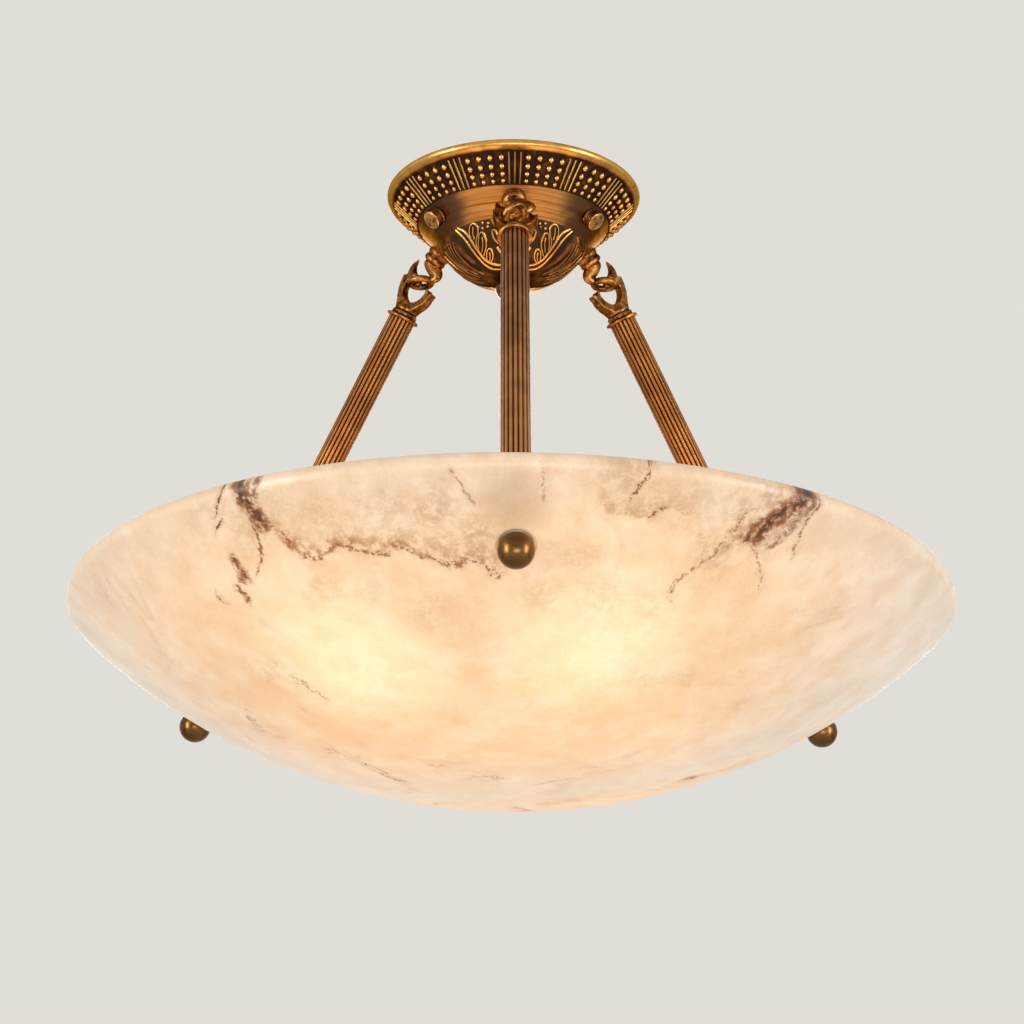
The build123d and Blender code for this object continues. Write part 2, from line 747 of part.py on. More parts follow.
def centre_ball_nut():
    """Flattened ball that clamps the cup from below."""
    bore = nipple_radius + thread_fit
    flat = cup_knob_radius * 0.66
    half = ThreePointArc(
        (flat, knob_bottom), (cup_knob_radius, (knob_bottom + cup_bottom) / 2), (flat, cup_bottom)
    )
    rest = Polyline((flat, cup_bottom), (bore, cup_bottom), (bore, knob_bottom), (flat, knob_bottom))
    return turned([half, rest])


def stem_coupling():
    thread = nipple_radius + thread_fit
    socket = stem_radius + thread_fit
    middle = (knob_bottom + coupling_bottom) / 2
    return turned([
        (thread, knob_bottom),
        (coupling_radius, knob_bottom),
        (coupling_radius, knob_bottom - 3.0),
        (coupling_waist_radius, middle),
        (coupling_radius, coupling_bottom + 3.0),
        (coupling_radius, coupling_bottom),
        (socket, coupling_bottom),
        (socket, stem_top),
        (thread, stem_top),
    ])


def stem_tube():
    return tube_between(stem_radius, stem_bore_radius, stem_top, stem_bottom)


# ---------------------------------------------------------------- lamp cluster
def lamp_frame():
    """Frame on the front: origin on the stem at lamp height, Z outwards."""
    return Plane(origin=(0, 0, -lamp_drop), x_dir=(1, 0, 0), z_dir=(0, -1, 0))


holder_back = hub_boss_reach
holder_mouth = holder_back + holder_length
cap_back = holder_mouth - cap_length
globe_middle = holder_mouth + globe_offset


def turned_on_lamp(outline):
    """Turned piece on the front lamp's axis."""
    return lamp_frame().location * turned(outline)


def cluster_hub():
    bottom = -lamp_drop - hub_height / 2
    body = turned([
        (0, hub_top),
        (stem_radius + 3.0, hub_top),
        (hub_radius, hub_top - hub_shoulder),
        (hub_radius, bottom + hub_shoulder),
        (finial_radius + 1.0, bottom),
        (0, bottom),
    ])
    boss = lamp_frame().location * Cylinder(
        hub_boss_radius, hub_boss_reach, align=(Align.CENTER, Align.CENTER, Align.MIN)
    )
    for azimuth in lamp_azimuths:
        body = body + at_azimuth(boss, azimuth)
    socket = Pos(0, 0, stem_bottom) * Cylinder(
        stem_radius + thread_fit, 60, align=(Align.CENTER, Align.CENTER, Align.MIN)
    )
    return body - socket


def hub_finial():
    """Turned knob under the hub: flange, waist and ball."""
    top = -lamp_drop - hub_height / 2
    ball_top = top - finial_height + 2 * finial_ball_radius
    flange = Pos(0, 0, top) * Cylinder(
        finial_radius, finial_flange_height, align=(Align.CENTER, Align.CENTER, Align.MAX)
    )
    waist = Pos(0, 0, top) * Cylinder(
        finial_waist_radius, top - ball_top + finial_ball_radius, align=(Align.CENTER, Align.CENTER, Align.MAX)
    )
    ball = Pos(0, 0, ball_top - finial_ball_radius) * Sphere(finial_ball_radius)
    return flange + waist + ball


def lampholder():
    """Porcelain holder, closed at the hub and open outwards."""
    bore = cap_radius + cap_fit + shell_wall + thread_fit
    return turned_on_lamp([
        (0, holder_back),
        (holder_rear_radius, holder_back),
        (holder_radius - 0.4, holder_back + 8.0),
        (holder_radius - 0.4, holder_mouth - 7.0),
        (holder_radius, holder_mouth - 6.0),
        (holder_radius, holder_mouth - 1.0),
        (holder_radius - 1.0, holder_mouth),
        (bore, holder_mouth),
        (bore, cap_back - cap_tip_height - contact_gap - contact_thickness),
        (0, cap_back - cap_tip_height - contact_gap - contact_thickness),
    ])


def screw_shell():
    inner = cap_radius + cap_fit
    return turned_on_lamp([
        (inner, holder_mouth - 1.5),
        (inner + shell_wall, holder_mouth - 1.5),
        (inner + shell_wall, cap_back - 1.0),
        (inner, cap_back - 1.0),
    ])


def centre_contact():
    back = cap_back - cap_tip_height - contact_gap - contact_thickness
    return turned_on_lamp([(0, back), (5.0, back), (5.0, back + contact_thickness), (0, back + contact_thickness)])


def bulb_cap():
    """Screw cap of the lamp with its contact tip, open towards the glass."""
    wall = 0.8
    return turned_on_lamp([
        (0, cap_back - cap_tip_height),
        (cap_tip_radius, cap_back - cap_tip_height),
        (cap_radius - 2.0, cap_back),
        (cap_radius, cap_back + 2.0),
        (cap_radius, holder_mouth),
        (cap_radius - wall, holder_mouth),
        (cap_radius - wall, cap_back + 3.0),
        (0, cap_back + 1.0),
    ])


def bulb_glass():
    """Frosted globe with its neck tucked into the cap."""
    neck_end = holder_mouth - glass_tuck

    def globe_at(radius, degrees):
        angle = math.radians(degrees)
        return (radius * math.sin(angle), globe_middle + radius * math.cos(angle))

    inner_radius = globe_radius - glass_wall
    join = 146.0
    neck_outer = globe_neck_radius - thread_fit
    outer = ThreePointArc(globe_at(globe_radius, 0), globe_at(globe_radius, 80), globe_at(globe_radius, join))
    neck = Polyline(
        globe_at(globe_radius, join), (neck_outer, neck_end), (neck_outer - glass_wall, neck_end),
        globe_at(inner_radius, join),
    )
    inner = ThreePointArc(globe_at(inner_radius, join), globe_at(inner_radius, 80), globe_at(inner_radius, 0))
    axis = Line(globe_at(inner_radius, 0), globe_at(globe_radius, 0))
    return turned_on_lamp([outer, neck, inner, axis])


# ---------------------------------------------------------------- assembly
def around(piece, azimuths):
    """One node holding a copy of a piece at each azimuth."""
    return Compound(children=[at_azimuth(piece, azimuth) for azimuth in azimuths])


nodes["bowl"] = bowl()
nodes["canopy_rim_plate"] = canopy_rim_plate()
nodes["canopy_band"] = canopy_band()
nodes["leaf_cup"] = leaf_cup()
nodes["mounting_plate"] = mounting_plate()
nodes["earth_screw"] = earth_screw()
nodes["terminal_block"] = terminal_block()
nodes["hook_lock_nuts"] = around(hook_lock_nut(), arm_azimuths)
nodes["centre_nipple"] = centre_nipple()
nodes["nipple_nuts"] = nipple_nuts()
nodes["centre_ball_nut"] = centre_ball_nut()
nodes["stem_coupling"] = stem_coupling()
nodes["stem_tube"] = stem_tube()
nodes["cluster_hub"] = cluster_hub()
nodes["hub_finial"] = hub_finial()
nodes["screw_shells"] = around(screw_shell(), lamp_azimuths)
nodes["centre_contacts"] = around(centre_contact(), lamp_azimuths)

claw = arm_claw()
tube = arm_tube()
rod = arm_rod()
foot = arm_foot()
nut = ball_nut()
inner_washer = washer(washer_radius, inner_washer_thickness, -inner_seat + inner_washer_thickness)
outer_washer = washer(outer_washer_radius, outer_washer_thickness, -outer_seat)
for number in range(len(arm_azimuths)):
    name = str(number + 1)
    hook = canopy_hook(claw_turns[number])
    nodes["canopy_hook_" + name] = at_azimuth(hook, arm_azimuths[number])
    nodes["arm_claw_" + name] = on_arm(claw, number)
    nodes["arm_tube_" + name] = on_arm(tube, number)
    nodes["arm_rod_" + name] = on_arm(rod, number)
    nodes["arm_foot_" + name] = on_arm(foot, number)
    nodes["ball_nut_" + name] = on_arm(nut, number)
arms = range(len(arm_azimuths))
nodes["inner_washers"] = Compound(children=[on_arm(inner_washer, number) for number in arms])
nodes["outer_washers"] = Compound(children=[on_arm(outer_washer, number) for number in arms])

for number, azimuth in enumerate(screw_azimuths):
    nodes["canopy_screw_" + str(number + 1)] = at_azimuth(canopy_screw(), azimuth)

for number, azimuth in enumerate(lamp_azimuths):
    name = str(number + 1)
    nodes["lampholder_" + name] = at_azimuth(lampholder(), azimuth)
    nodes["bulb_cap_" + name] = at_azimuth(bulb_cap(), azimuth)
    nodes["bulb_glass_" + name] = at_azimuth(bulb_glass(), azimuth)

os.makedirs("parts", exist_ok=True)
for name, shape in nodes.items():
    export_step(shape, "parts/" + name + ".step")
print(len(nodes), "nodes written")
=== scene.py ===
import math
import bmesh
import bpy
from mathutils import Matrix, Vector


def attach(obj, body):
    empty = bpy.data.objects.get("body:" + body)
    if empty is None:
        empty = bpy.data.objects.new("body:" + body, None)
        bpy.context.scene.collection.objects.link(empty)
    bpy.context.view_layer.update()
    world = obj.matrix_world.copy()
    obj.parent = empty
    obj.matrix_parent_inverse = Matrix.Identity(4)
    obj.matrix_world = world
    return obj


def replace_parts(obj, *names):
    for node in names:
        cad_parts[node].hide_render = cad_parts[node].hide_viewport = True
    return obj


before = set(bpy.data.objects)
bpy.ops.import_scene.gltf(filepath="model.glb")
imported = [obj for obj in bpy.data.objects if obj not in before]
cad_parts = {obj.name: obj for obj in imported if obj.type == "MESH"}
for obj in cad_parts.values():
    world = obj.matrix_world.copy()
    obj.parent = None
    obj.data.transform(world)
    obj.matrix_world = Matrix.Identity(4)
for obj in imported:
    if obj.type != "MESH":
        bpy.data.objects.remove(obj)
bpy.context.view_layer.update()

# ---- studio
# The pendant hangs in front of a pale backdrop, over a pale floor. Two tall softboxes
# stand at its sides, a wide one lies low in front and one hangs behind.
MM = 0.001
studio = bpy.context.scene
studio.view_settings.view_transform = "Standard"
backdrop_colour = (0.753, 0.730, 0.680, 1)
fill_colour = (1.0, 0.985, 0.96, 1)
fill_strength = 0.42
floor_height = -1.25
floor_width = 9.0
floor_roughness = 0.9
softbox_aim = Vector((0, 0, -0.15))
softboxes = (                   # name, place, width and height, power in watts
    ("left_softbox", (-2.1, -1.35, -0.25), (0.7, 1.5), 34.0),
    ("right_softbox", (2.1, -1.25, -0.25), (0.7, 1.5), 30.0),
    ("front_softbox", (0.2, -2.3, -1.0), (1.6, 0.5), 16.0),
    ("rear_softbox", (0.0, 2.4, 0.6), (1.8, 0.8), 22.0),
)


def wire(tree, kind, inputs=(), settings=()):
    """Add a shader node, set its options and its inputs: plain values, or sockets to link."""
    made = tree.nodes.new("ShaderNode" + kind)
    for key, value in dict(settings).items():
        setattr(made, key, value)
    for key, value in dict(inputs).items():
        if isinstance(value, bpy.types.NodeSocket):
            tree.links.new(value, made.inputs[key])
        else:
            made.inputs[key].default_value = value
    return made


def tree_of(*values):
    """The node tree of the first socket among the values."""
    return next(value.id_data for value in values if isinstance(value, bpy.types.NodeSocket))


def reckon(operation, *values):
    """Result of a Math node."""
    return wire(tree_of(*values), "Math", dict(enumerate(values)), {"operation": operation}).outputs[0]


def plus(a, b):
    return reckon("ADD", a, b)


def less(a, b):
    return reckon("SUBTRACT", a, b)


def times(a, b):
    return reckon("MULTIPLY", a, b)


def larger(a, b):
    return reckon("MAXIMUM", a, b)


def reckon_vector(operation, *values):
    """Result of a Vector Math node: a number for a distance or a length, else a vector."""
    made = wire(tree_of(*values), "VectorMath", dict(enumerate(values)), {"operation": operation})
    return made.outputs["Value" if operation in ("DISTANCE", "LENGTH") else "Vector"]


def hang_backdrop():
    world = bpy.data.worlds.new("backdrop")
    studio.world = world
    world.use_nodes = True
    tree = world.node_tree
    tree.nodes.clear()
    rays = wire(tree, "LightPath").outputs
    seen = larger(rays["Is Camera Ray"], rays["Is Glossy Ray"])
    seen = larger(seen, rays["Is Transmission Ray"])
    fill = wire(tree, "Background", {"Color": fill_colour, "Strength": fill_strength})
    pale = wire(tree, "Background", {"Color": backdrop_colour, "Strength": 1.0})
    both = wire(tree, "MixShader", {0: seen, 1: fill.outputs[0], 2: pale.outputs[0]})
    wire(tree, "OutputWorld", {"Surface": both.outputs[0]})


def place_softbox(name, place, size, power):
    lamp = bpy.data.lights.new(name, "AREA")
    lamp.shape = "RECTANGLE"
    lamp.size, lamp.size_y = size
    lamp.energy = power
    stand = bpy.data.objects.new(name, lamp)
    studio.collection.objects.link(stand)
    aim = softbox_aim - Vector(place)
    stand.matrix_world = Matrix.Translation(place) @ aim.to_track_quat("-Z", "Y").to_matrix().to_4x4()


def object_of(bm, name):
    """Turn a bmesh into an object in the studio."""
    mesh = bpy.data.meshes.new(name)
    bm.to_mesh(mesh)
    bm.free()
    made = bpy.data.objects.new(name, mesh)
    studio.collection.objects.link(made)
    return made


hang_backdrop()
for softbox in softboxes:
    place_softbox(*softbox)

bm = bmesh.new()
bmesh.ops.create_grid(bm, x_segments=1, y_segments=1, size=floor_width / 2)
bmesh.ops.translate(bm, verts=bm.verts, vec=(0, 0, floor_height))
floor = object_of(bm, "floor")
floor_paint = bpy.data.materials.new("floor_paint")
floor_paint.use_nodes = True
floor_paint.node_tree.nodes["Principled BSDF"].inputs["Base Color"].default_value = backdrop_colour
floor_paint.node_tree.nodes["Principled BSDF"].inputs["Roughness"].default_value = floor_roughness
floor.data.materials.append(floor_paint)

# ---- camera
# It stands 1.6 m in front of the pendant, half a metre below its bowl, and looks up.
# Place, turn and lens were fitted to measured points of the canopy, hooks and bowl.
camera_place = (-0.0163, -1.5922, -0.7821)
camera_pitch = 19.98            # degrees above the horizon
camera_turn = -0.59
camera_roll = 0.31
camera_lens = 102.7
camera_sensor = 36.0

lens = bpy.data.cameras.new("camera")
lens.lens = camera_lens
lens.sensor_width = camera_sensor
camera = bpy.data.objects.new("camera", lens)
studio.collection.objects.link(camera)
camera.matrix_world = (
    Matrix.Translation(camera_place)
    @ Matrix.Rotation(math.radians(camera_turn), 4, "Z")
    @ Matrix.Rotation(math.radians(90 + camera_pitch), 4, "X")
    @ Matrix.Rotation(math.radians(camera_roll), 4, "Z")
)
studio.camera = camera

# ---- zinc plated fixings
# Mounting plate, earth screw, centre nipple and nuts are steel, zinc plated dull grey.
# The plate is stamped and its three legs are bent down; only the canopy hides it.
smooth_below = math.radians(32)
merge_below = 0.002 * MM


def finish_of(name, roughness, metallic=0.0):
    """Material with an empty pattern: its tree, its shader and its Object coordinates."""
    made = bpy.data.materials.new(name)
    made.use_nodes = True
    tree = made.node_tree
    shader = tree.nodes["Principled BSDF"]
    shader.inputs["Roughness"].default_value = roughness
    shader.inputs["Metallic"].default_value = metallic
    place = wire(tree, "TexCoord").outputs["Object"]
    return made, tree, shader, place


def noise(place, scale, detail=3.0, roughness=0.5, distortion=0.0):
    return wire(place.id_data, "TexNoise", {
        "Vector": place, "Scale": scale, "Detail": detail, "Roughness": roughness, "Distortion": distortion,
    }).outputs["Fac"]


def ramp(value, low, high, out_low=0.0, out_high=1.0, steps="SMOOTHSTEP"):
    return wire(value.id_data, "MapRange", {
        "Value": value, "From Min": low, "From Max": high, "To Min": out_low, "To Max": out_high,
    }, {"interpolation_type": steps}).outputs["Result"]


def blend_colours(share, first, second, mode="MIX"):
    return wire(tree_of(share, first, second), "Mix", {0: share, 6: first, 7: second}, {
        "data_type": "RGBA", "blend_type": mode,
    }).outputs[2]


def bump(shader, height, depth, strength=1.0):
    made = wire(height.id_data, "Bump", {"Height": height, "Distance": depth, "Strength": strength})
    height.id_data.links.new(made.outputs["Normal"], shader.inputs["Normal"])


def clouded(name, roughness, metallic, cloud_scale, cloud_detail, tones, span=(0.3, 0.7)):
    """Finish whose colour drifts in clouds between two tones."""
    made, tree, shader, place = finish_of(name, roughness, metallic)
    cloud = noise(place, cloud_scale, cloud_detail)
    tree.links.new(blend_colours(ramp(cloud, *span), *tones), shader.inputs["Base Color"])
    return made, tree, shader, place, cloud


def zinc():
    made, tree, shader, place, cloud = clouded(
        "zinc_plating", 0.42, 1.0, 90.0, 5.0, ((0.42, 0.43, 0.43, 1), (0.60, 0.61, 0.59, 1)), (0.35, 0.65))
    tree.links.new(ramp(cloud, 0.3, 0.7, 0.34, 0.52), shader.inputs["Roughness"])
    bump(shader, noise(place, 900.0, 2.0), 0.05 * MM)
    return made


def coat(node, finish):
    """Give a node of the frame its finish."""
    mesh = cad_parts[node].data
    mesh.materials.clear()
    mesh.materials.append(finish)


zinc_plating = zinc()
for node in ("mounting_plate", "earth_screw", "centre_nipple", "nipple_nuts", "hook_lock_nuts"):
    coat(node, zinc_plating)

# ---- terminal block
# Moulded in white polyamide, with one brass tunnel and two clamp screws for each wire.
# It is screwed to the mounting plate, inside the canopy.


def moulded_plastic():
    made, _, shader, place, _ = clouded(
        "white_polyamide", 0.45, 0.0, 60.0, 2.0, ((0.74, 0.73, 0.69, 1), (0.80, 0.79, 0.76, 1)))
    bump(shader, noise(place, 2500.0, 1.0), 0.02 * MM)
    return made


coat("terminal_block", moulded_plastic())

# ---- canopy rim plate
# Cast brass ring with a rolled edge. Its slope carries twelve panels of drop-shaped beads
# between groups of three ribs; the relief is rubbed bright and the ground left dark, with shade painted into
# the recesses round beads and ribs.
canopy_radius = 76.1 * MM
edge_roll = 2.6 * MM
edge_width = 5.6 * MM
edge_shine = 0.80
slope_top_radius = 72.0 * MM
slope_top_drop = 6.0 * MM
plate_slope = 21.2 * MM
canopy_wall = 2.4 * MM
half_root = math.sqrt(0.5)
spin_steps = 288
panel_count = 12
rib_turns = (-2.9, 0.0, 2.9)            # degrees from the middle of a divider
rib_half_width = 0.78 * MM
rib_height = 1.1 * MM
rib_reach = 8.9 * MM                    # from a rib's middle to the middle of its rounded end
rib_end = 1.2 * MM
bead_turns = (6.6, 12.2, 17.8, 23.4)
bead_rows = ((4.2, 1.00), (9.5, 0.98), (14.3, 0.88), (18.5, 0.76))   # mm down the slope, size
bead_radius = 1.86 * MM
bead_length = 1.16                      # of its width
bead_taper = 0.30

gold = (0.68, 0.37, 0.105, 1)
bronze = (0.30, 0.130, 0.040, 1)
umber = (0.036, 0.019, 0.012, 1)
edge_tint = (0.55, 0.36, 0.22, 1)       # old lacquer keeps the brass brown at grazing angles


def slope_point(along, out=0.0):
    """Radius and height on the canopy's slope, measured down from its top and out of it."""
    radius = slope_top_radius - (along - out) * half_root
    height = -slope_top_drop - (along + out) * half_root
    return radius, height


def slope_matrix(turn, along):
    """Frame on the slope: X sideways, Y down the slope, Z out of it."""
    radius, height = slope_point(along)
    front = Matrix((
        (-1, 0, 0, 0),
        (0, half_root, -half_root, -radius),
        (0, -half_root, -half_root, height),
        (0, 0, 0, 1),
    ))
    return Matrix.Rotation(math.radians(turn), 4, "Z") @ front


def spun(bm, outline, steps=spin_steps):
    """Spin an outline of radius and height, open or closed, round the Z axis."""
    ring = [bm.verts.new((radius, 0, height)) for radius, height in outline]
    edges = [bm.edges.new(pair) for pair in zip(ring, ring[1:])]
    bmesh.ops.spin(
        bm, geom=ring + edges, cent=(0, 0, 0), axis=(0, 0, 1), angle=math.tau, steps=steps, use_merge=True
    )


def arc(centre, radius, start, end, count):
    """Points on an arc of an outline, angles in degrees from the radius axis."""
    points = []
    for step in range(count + 1):
        angle = math.radians(start + (end - start) * step / count)
        points.append((centre[0] + radius * math.cos(angle), centre[1] + radius * math.sin(angle)))
    return points


def closed(bm):
    """Merge the seams and poles of a spun shape and turn its faces outwards."""
    bmesh.ops.remove_doubles(bm, verts=bm.verts, dist=merge_below)
    bmesh.ops.recalc_face_normals(bm, faces=bm.faces)


def dressed(made, body, finish):
    """Shade an object smooth, give it its finish and let it ride on a body."""
    made.data.polygons.foreach_set("use_smooth", [True] * len(made.data.polygons))
    made.data.materials.clear()
    made.data.materials.append(finish)
    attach(made, body)
    return made


def piece_of(bm, name, body, finish, angle=smooth_below):
    """Close a bmesh into a smooth shaded piece with its sharp edges kept."""
    closed(bm)
    made = dressed(object_of(bm, name), body, finish)
    made.data.set_sharp_from_angle(angle=angle)
    return made


def wax_and_shade_in_hollows(tree, reach):
    """1 in the open and 0 in the recesses of a casting, where its dark wax stays and where ambient occlusion
    paints shade.
    """
    shade = wire(tree, "AmbientOcclusion", {"Distance": reach}, {"samples": 8, "only_local": True})
    return ramp(shade.outputs["AO"], 0.25, 0.85, steps="LINEAR")


def patina(name, middle=bronze, low=umber):
    """Cast brass with an attribute "worn": umber ground, bronze flanks, gold where it is worn, and shade
    painted into its recesses.
    """
    made, tree, shader, place = finish_of(name, 0.4, 1.0)
    shader.inputs["Specular Tint"].default_value = edge_tint
    worn = wire(tree, "Attribute", settings={"attribute_name": "worn"}).outputs["Fac"]
    cloud = noise(place, 140.0, 4.0)
    wear_and_painted_light = plus(worn, ramp(cloud, 0.3, 0.7, -0.20, 0.10))
    # Painted shade: ambient occlusion darkens the recesses, on top of the dark wax there.
    wear_and_painted_light = plus(wear_and_painted_light, ramp(wax_and_shade_in_hollows(tree, 1.6 * MM), 0.0, 1.0, -0.40, 0.06))
    flanks = blend_colours(ramp(wear_and_painted_light, 0.0, 0.45), low, middle)
    full = blend_colours(ramp(wear_and_painted_light, 0.42, 0.92), flanks, gold)
    tree.links.new(full, shader.inputs["Base Color"])
    tree.links.new(ramp(wear_and_painted_light, 0.0, 0.9, 0.58, 0.30), shader.inputs["Roughness"])
    bump(shader, noise(place, 520.0, 3.0), 0.12 * MM, 0.6)
    return made


bm = bmesh.new()
worn = bm.verts.layers.float.new("worn")
roll_centre = (canopy_radius - edge_roll, -edge_roll)
inner_radius = canopy_radius - edge_width
slope_inner = slope_point(plate_slope, -canopy_wall)
rim_outline = [(inner_radius, 0.0)] + arc(roll_centre, edge_roll, 90, -90, 14)
rim_outline += [slope_point(0), slope_point(plate_slope / 2), slope_point(plate_slope), slope_inner]
rim_outline += [(inner_radius, slope_inner[1] + inner_radius - slope_inner[0]), (inner_radius, 0.0)]
spun(bm, rim_outline)
for vert in bm.verts:
    if math.hypot(vert.co.x, vert.co.y) > slope_top_radius + 0.1 * MM:
        vert[worn] = edge_shine

# One rib: a bar with a rounded back and ends, copied round the canopy three at a time.
for divider in range(panel_count):
    for turn in rib_turns:
        made = bmesh.ops.create_uvsphere(bm, u_segments=8, v_segments=6, radius=1.0)["verts"]
        for vert in made:
            end = (vert.co.y > 0.01) - (vert.co.y < -0.01)
            vert[worn] = max(0.0, vert.co.z)
            vert.co = Vector((
                vert.co.x * rib_half_width,
                end * rib_reach + vert.co.y * rib_end,
                vert.co.z * rib_height,
            ))
        place = slope_matrix(divider * 360 / panel_count + turn, plate_slope / 2)
        bmesh.ops.transform(bm, matrix=place, verts=made)

# The beads: small drops, their points towards the ceiling.
for panel in range(panel_count):
    for along, share in bead_rows:
        for turn in bead_turns:
            made = bmesh.ops.create_uvsphere(bm, u_segments=10, v_segments=6, radius=1.0)["verts"]
            for vert in made:
                narrow = 1.0 - bead_taper * max(0.0, -vert.co.y)
                vert[worn] = 0.1 + max(0.0, vert.co.z)
                vert.co = Vector((vert.co.x * narrow, vert.co.y * bead_length, vert.co.z * narrow))
                vert.co *= bead_radius * share
            place = slope_matrix(panel * 360 / panel_count + turn, along * MM)
            bmesh.ops.transform(bm, matrix=place, verts=made)

rim_plate = piece_of(bm, "rim_plate_cast", "root", patina("rim_plate_patina"))
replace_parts(rim_plate, "canopy_rim_plate")

# ---- canopy band
# Turned from brass sheet on a lathe and brushed while it spins, so the fine scratches run
# round it. Dark brown shade is painted round the screws and the hooks that pass through it.
band_slope = 19.8 * MM
lap_length = 4.0 * MM
lap_split = 1.2 * MM


def brushed_brass():
    made, tree, shader, place = finish_of("brushed_band_brass", 0.34, 1.0)
    shader.inputs["Specular Tint"].default_value = edge_tint
    radius = reckon_vector("LENGTH", reckon_vector("MULTIPLY", place, (1, 1, 0)))
    spread = reckon_vector("MULTIPLY", place, (14.0, 14.0, 0.0))
    lathe_rings = wire(tree, "CombineXYZ", {"Z": times(radius, 1100.0)}).outputs[0]
    scratches = noise(reckon_vector("ADD", spread, lathe_rings), 1.0, 4.0, 0.7)
    parts = wire(tree, "SeparateXYZ", {0: place}).outputs
    turn = reckon("ARCTAN2", parts["X"], times(parts["Y"], -1.0))
    thirds = reckon("COSINE", times(turn, 3.0))
    drift = plus(thirds, ramp(noise(place, 30.0, 3.0), 0.3, 0.7, -0.35, 0.35))
    # Painted shade: the band is painted dark brown round the screws and round the hooks.
    shade_by_screws, shade_by_hooks = ramp(drift, -0.15, -0.85, 0.0, 0.92), ramp(drift, 0.75, 1.1, 0.0, 0.5)
    grooves = ramp(scratches, 0.3, 0.7)
    base = blend_colours(grooves, (0.30, 0.122, 0.033, 1), (0.62, 0.31, 0.098, 1))
    painted_shade = larger(shade_by_screws, shade_by_hooks)
    shade = blend_colours(painted_shade, base, (0.105, 0.050, 0.026, 1))
    tree.links.new(shade, shader.inputs["Base Color"])
    tree.links.new(ramp(scratches, 0.3, 0.7, 0.30, 0.46), shader.inputs["Roughness"])
    bump(shader, scratches, 0.10 * MM, 0.5)
    return made


bm = bmesh.new()
band_end = plate_slope + band_slope
band_points = ((plate_slope - lap_length, -lap_split), (plate_slope, -lap_split), (plate_slope, 0))
band_points += ((plate_slope + band_slope / 2, 0), (band_end, 0), (band_end, -lap_split))
band_points += ((band_end - lap_length, -lap_split), (band_end - lap_length, -canopy_wall))
band_points += ((plate_slope - lap_length, -canopy_wall), (plate_slope - lap_length, -lap_split))
spun(bm, [slope_point(*point) for point in band_points])
band = piece_of(bm, "band_turned", "root", brushed_brass())
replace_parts(band, "canopy_band")

# ---- leaf cup
# Cast brass cup: two broad shields of loops and dots, front and rear, with a ribbed leaf
# on each side between them. The raised lines are rubbed to gold over the umber ground.
cup_depth = 20.6 * MM
cup_floor_radius = 14.0 * MM
cup_bulge_radius = 31.0 * MM
cup_bulge_drop = 13.6 * MM
cup_wall = 2.0 * MM
cup_steps = 360
nipple_hole = 5.1 * MM
line_radius = 0.62 * MM
line_rise = 0.30 * MM
dot_radius = 1.05 * MM
shield_turns = (0, 180)
leaf_turns = (-90, 90)
leaf_edge = 56.0                # degrees from a shield's middle, where a leaf starts to swell
leaf_swell = 0.7 * MM
leaf_ridge = 0.30 * MM
leaf_shine = 0.5


def circle_through(a, b, c):
    """Centre and radius of the circle through three points of an outline."""
    ax, ay, bx, by, cx, cy = *a, *b, *c
    twice = 2 * (ax * (by - cy) + bx * (cy - ay) + cx * (ay - by))
    squares = [x * x + y * y for x, y in (a, b, c)]
    x = (squares[0] * (by - cy) + squares[1] * (cy - ay) + squares[2] * (ay - by)) / twice
    y = (squares[0] * (cx - bx) + squares[1] * (ax - cx) + squares[2] * (bx - ax)) / twice
    return (x, y), math.hypot(ax - x, ay - y)


cup_top = slope_point(band_end)
cup_floor = (cup_floor_radius, cup_top[1] - cup_depth)
cup_centre, cup_radius = circle_through(cup_top, (cup_bulge_radius, cup_top[1] - cup_bulge_drop), cup_floor)
cup_start = math.atan2(cup_top[1] - cup_centre[1], cup_top[0] - cup_centre[0])
cup_finish = math.atan2(cup_floor[1] - cup_centre[1], cup_floor[0] - cup_centre[0])
cup_length = abs(cup_finish - cup_start) * cup_radius


def cup_point(sideways, along, out, middle):
    """Point on the cup: metres sideways of a panel's middle, down the wall and out of it."""
    angle = cup_start + (cup_finish - cup_start) * along / cup_length
    on_wall = cup_centre[0] + cup_radius * math.cos(angle)
    radius = cup_centre[0] + (cup_radius + out) * math.cos(angle)
    height = cup_centre[1] + (cup_radius + out) * math.sin(angle)
    turn = math.radians(middle) + sideways / on_wall
    return Vector((radius * math.sin(turn), -radius * math.cos(turn), height))


def lay_lines(bm, worn, middle, lines, shine=1.0):
    """Lay raised lines on the cup: each is a row of (sideways, along) points in mm."""
    for points, thick in lines:
        path = bpy.data.curves.new("line", "CURVE")
        path.dimensions = "3D"
        path.bevel_depth = line_radius * thick
        path.bevel_resolution = 1
        path.resolution_u = 5
        for mirrored in (1, -1):
            run = path.splines.new("BEZIER")
            run.bezier_points.add(len(points) - 1)
            for knot, (sideways, along) in zip(run.bezier_points, points):
                knot.co = (mirrored * sideways * MM, along * MM, 0)
                knot.handle_left_type = knot.handle_right_type = "AUTO"
        holder = bpy.data.objects.new("line", path)
        strip = bpy.data.meshes.new_from_object(holder)
        first = len(bm.verts)
        bm.from_mesh(strip)
        bm.verts.ensure_lookup_table()
        for vert in bm.verts[first:]:
            vert[worn] = shine if vert.co.z > 0 else 0.3 * shine
            vert.co = cup_point(vert.co.x, vert.co.y, vert.co.z + line_rise, middle)
        bpy.data.objects.remove(holder)
        bpy.data.curves.remove(path)
        bpy.data.meshes.remove(strip)


def lay_dots(bm, worn, middle, places):
    for sideways, along in places:
        made = bmesh.ops.create_uvsphere(bm, u_segments=8, v_segments=6, radius=dot_radius)["verts"]
        for vert in made:
            spot = vert.co.copy()
            vert[worn] = max(0.0, spot.z / dot_radius)
            vert.co = cup_point(spot.x + sideways * MM, spot.y + along * MM, spot.z, middle)


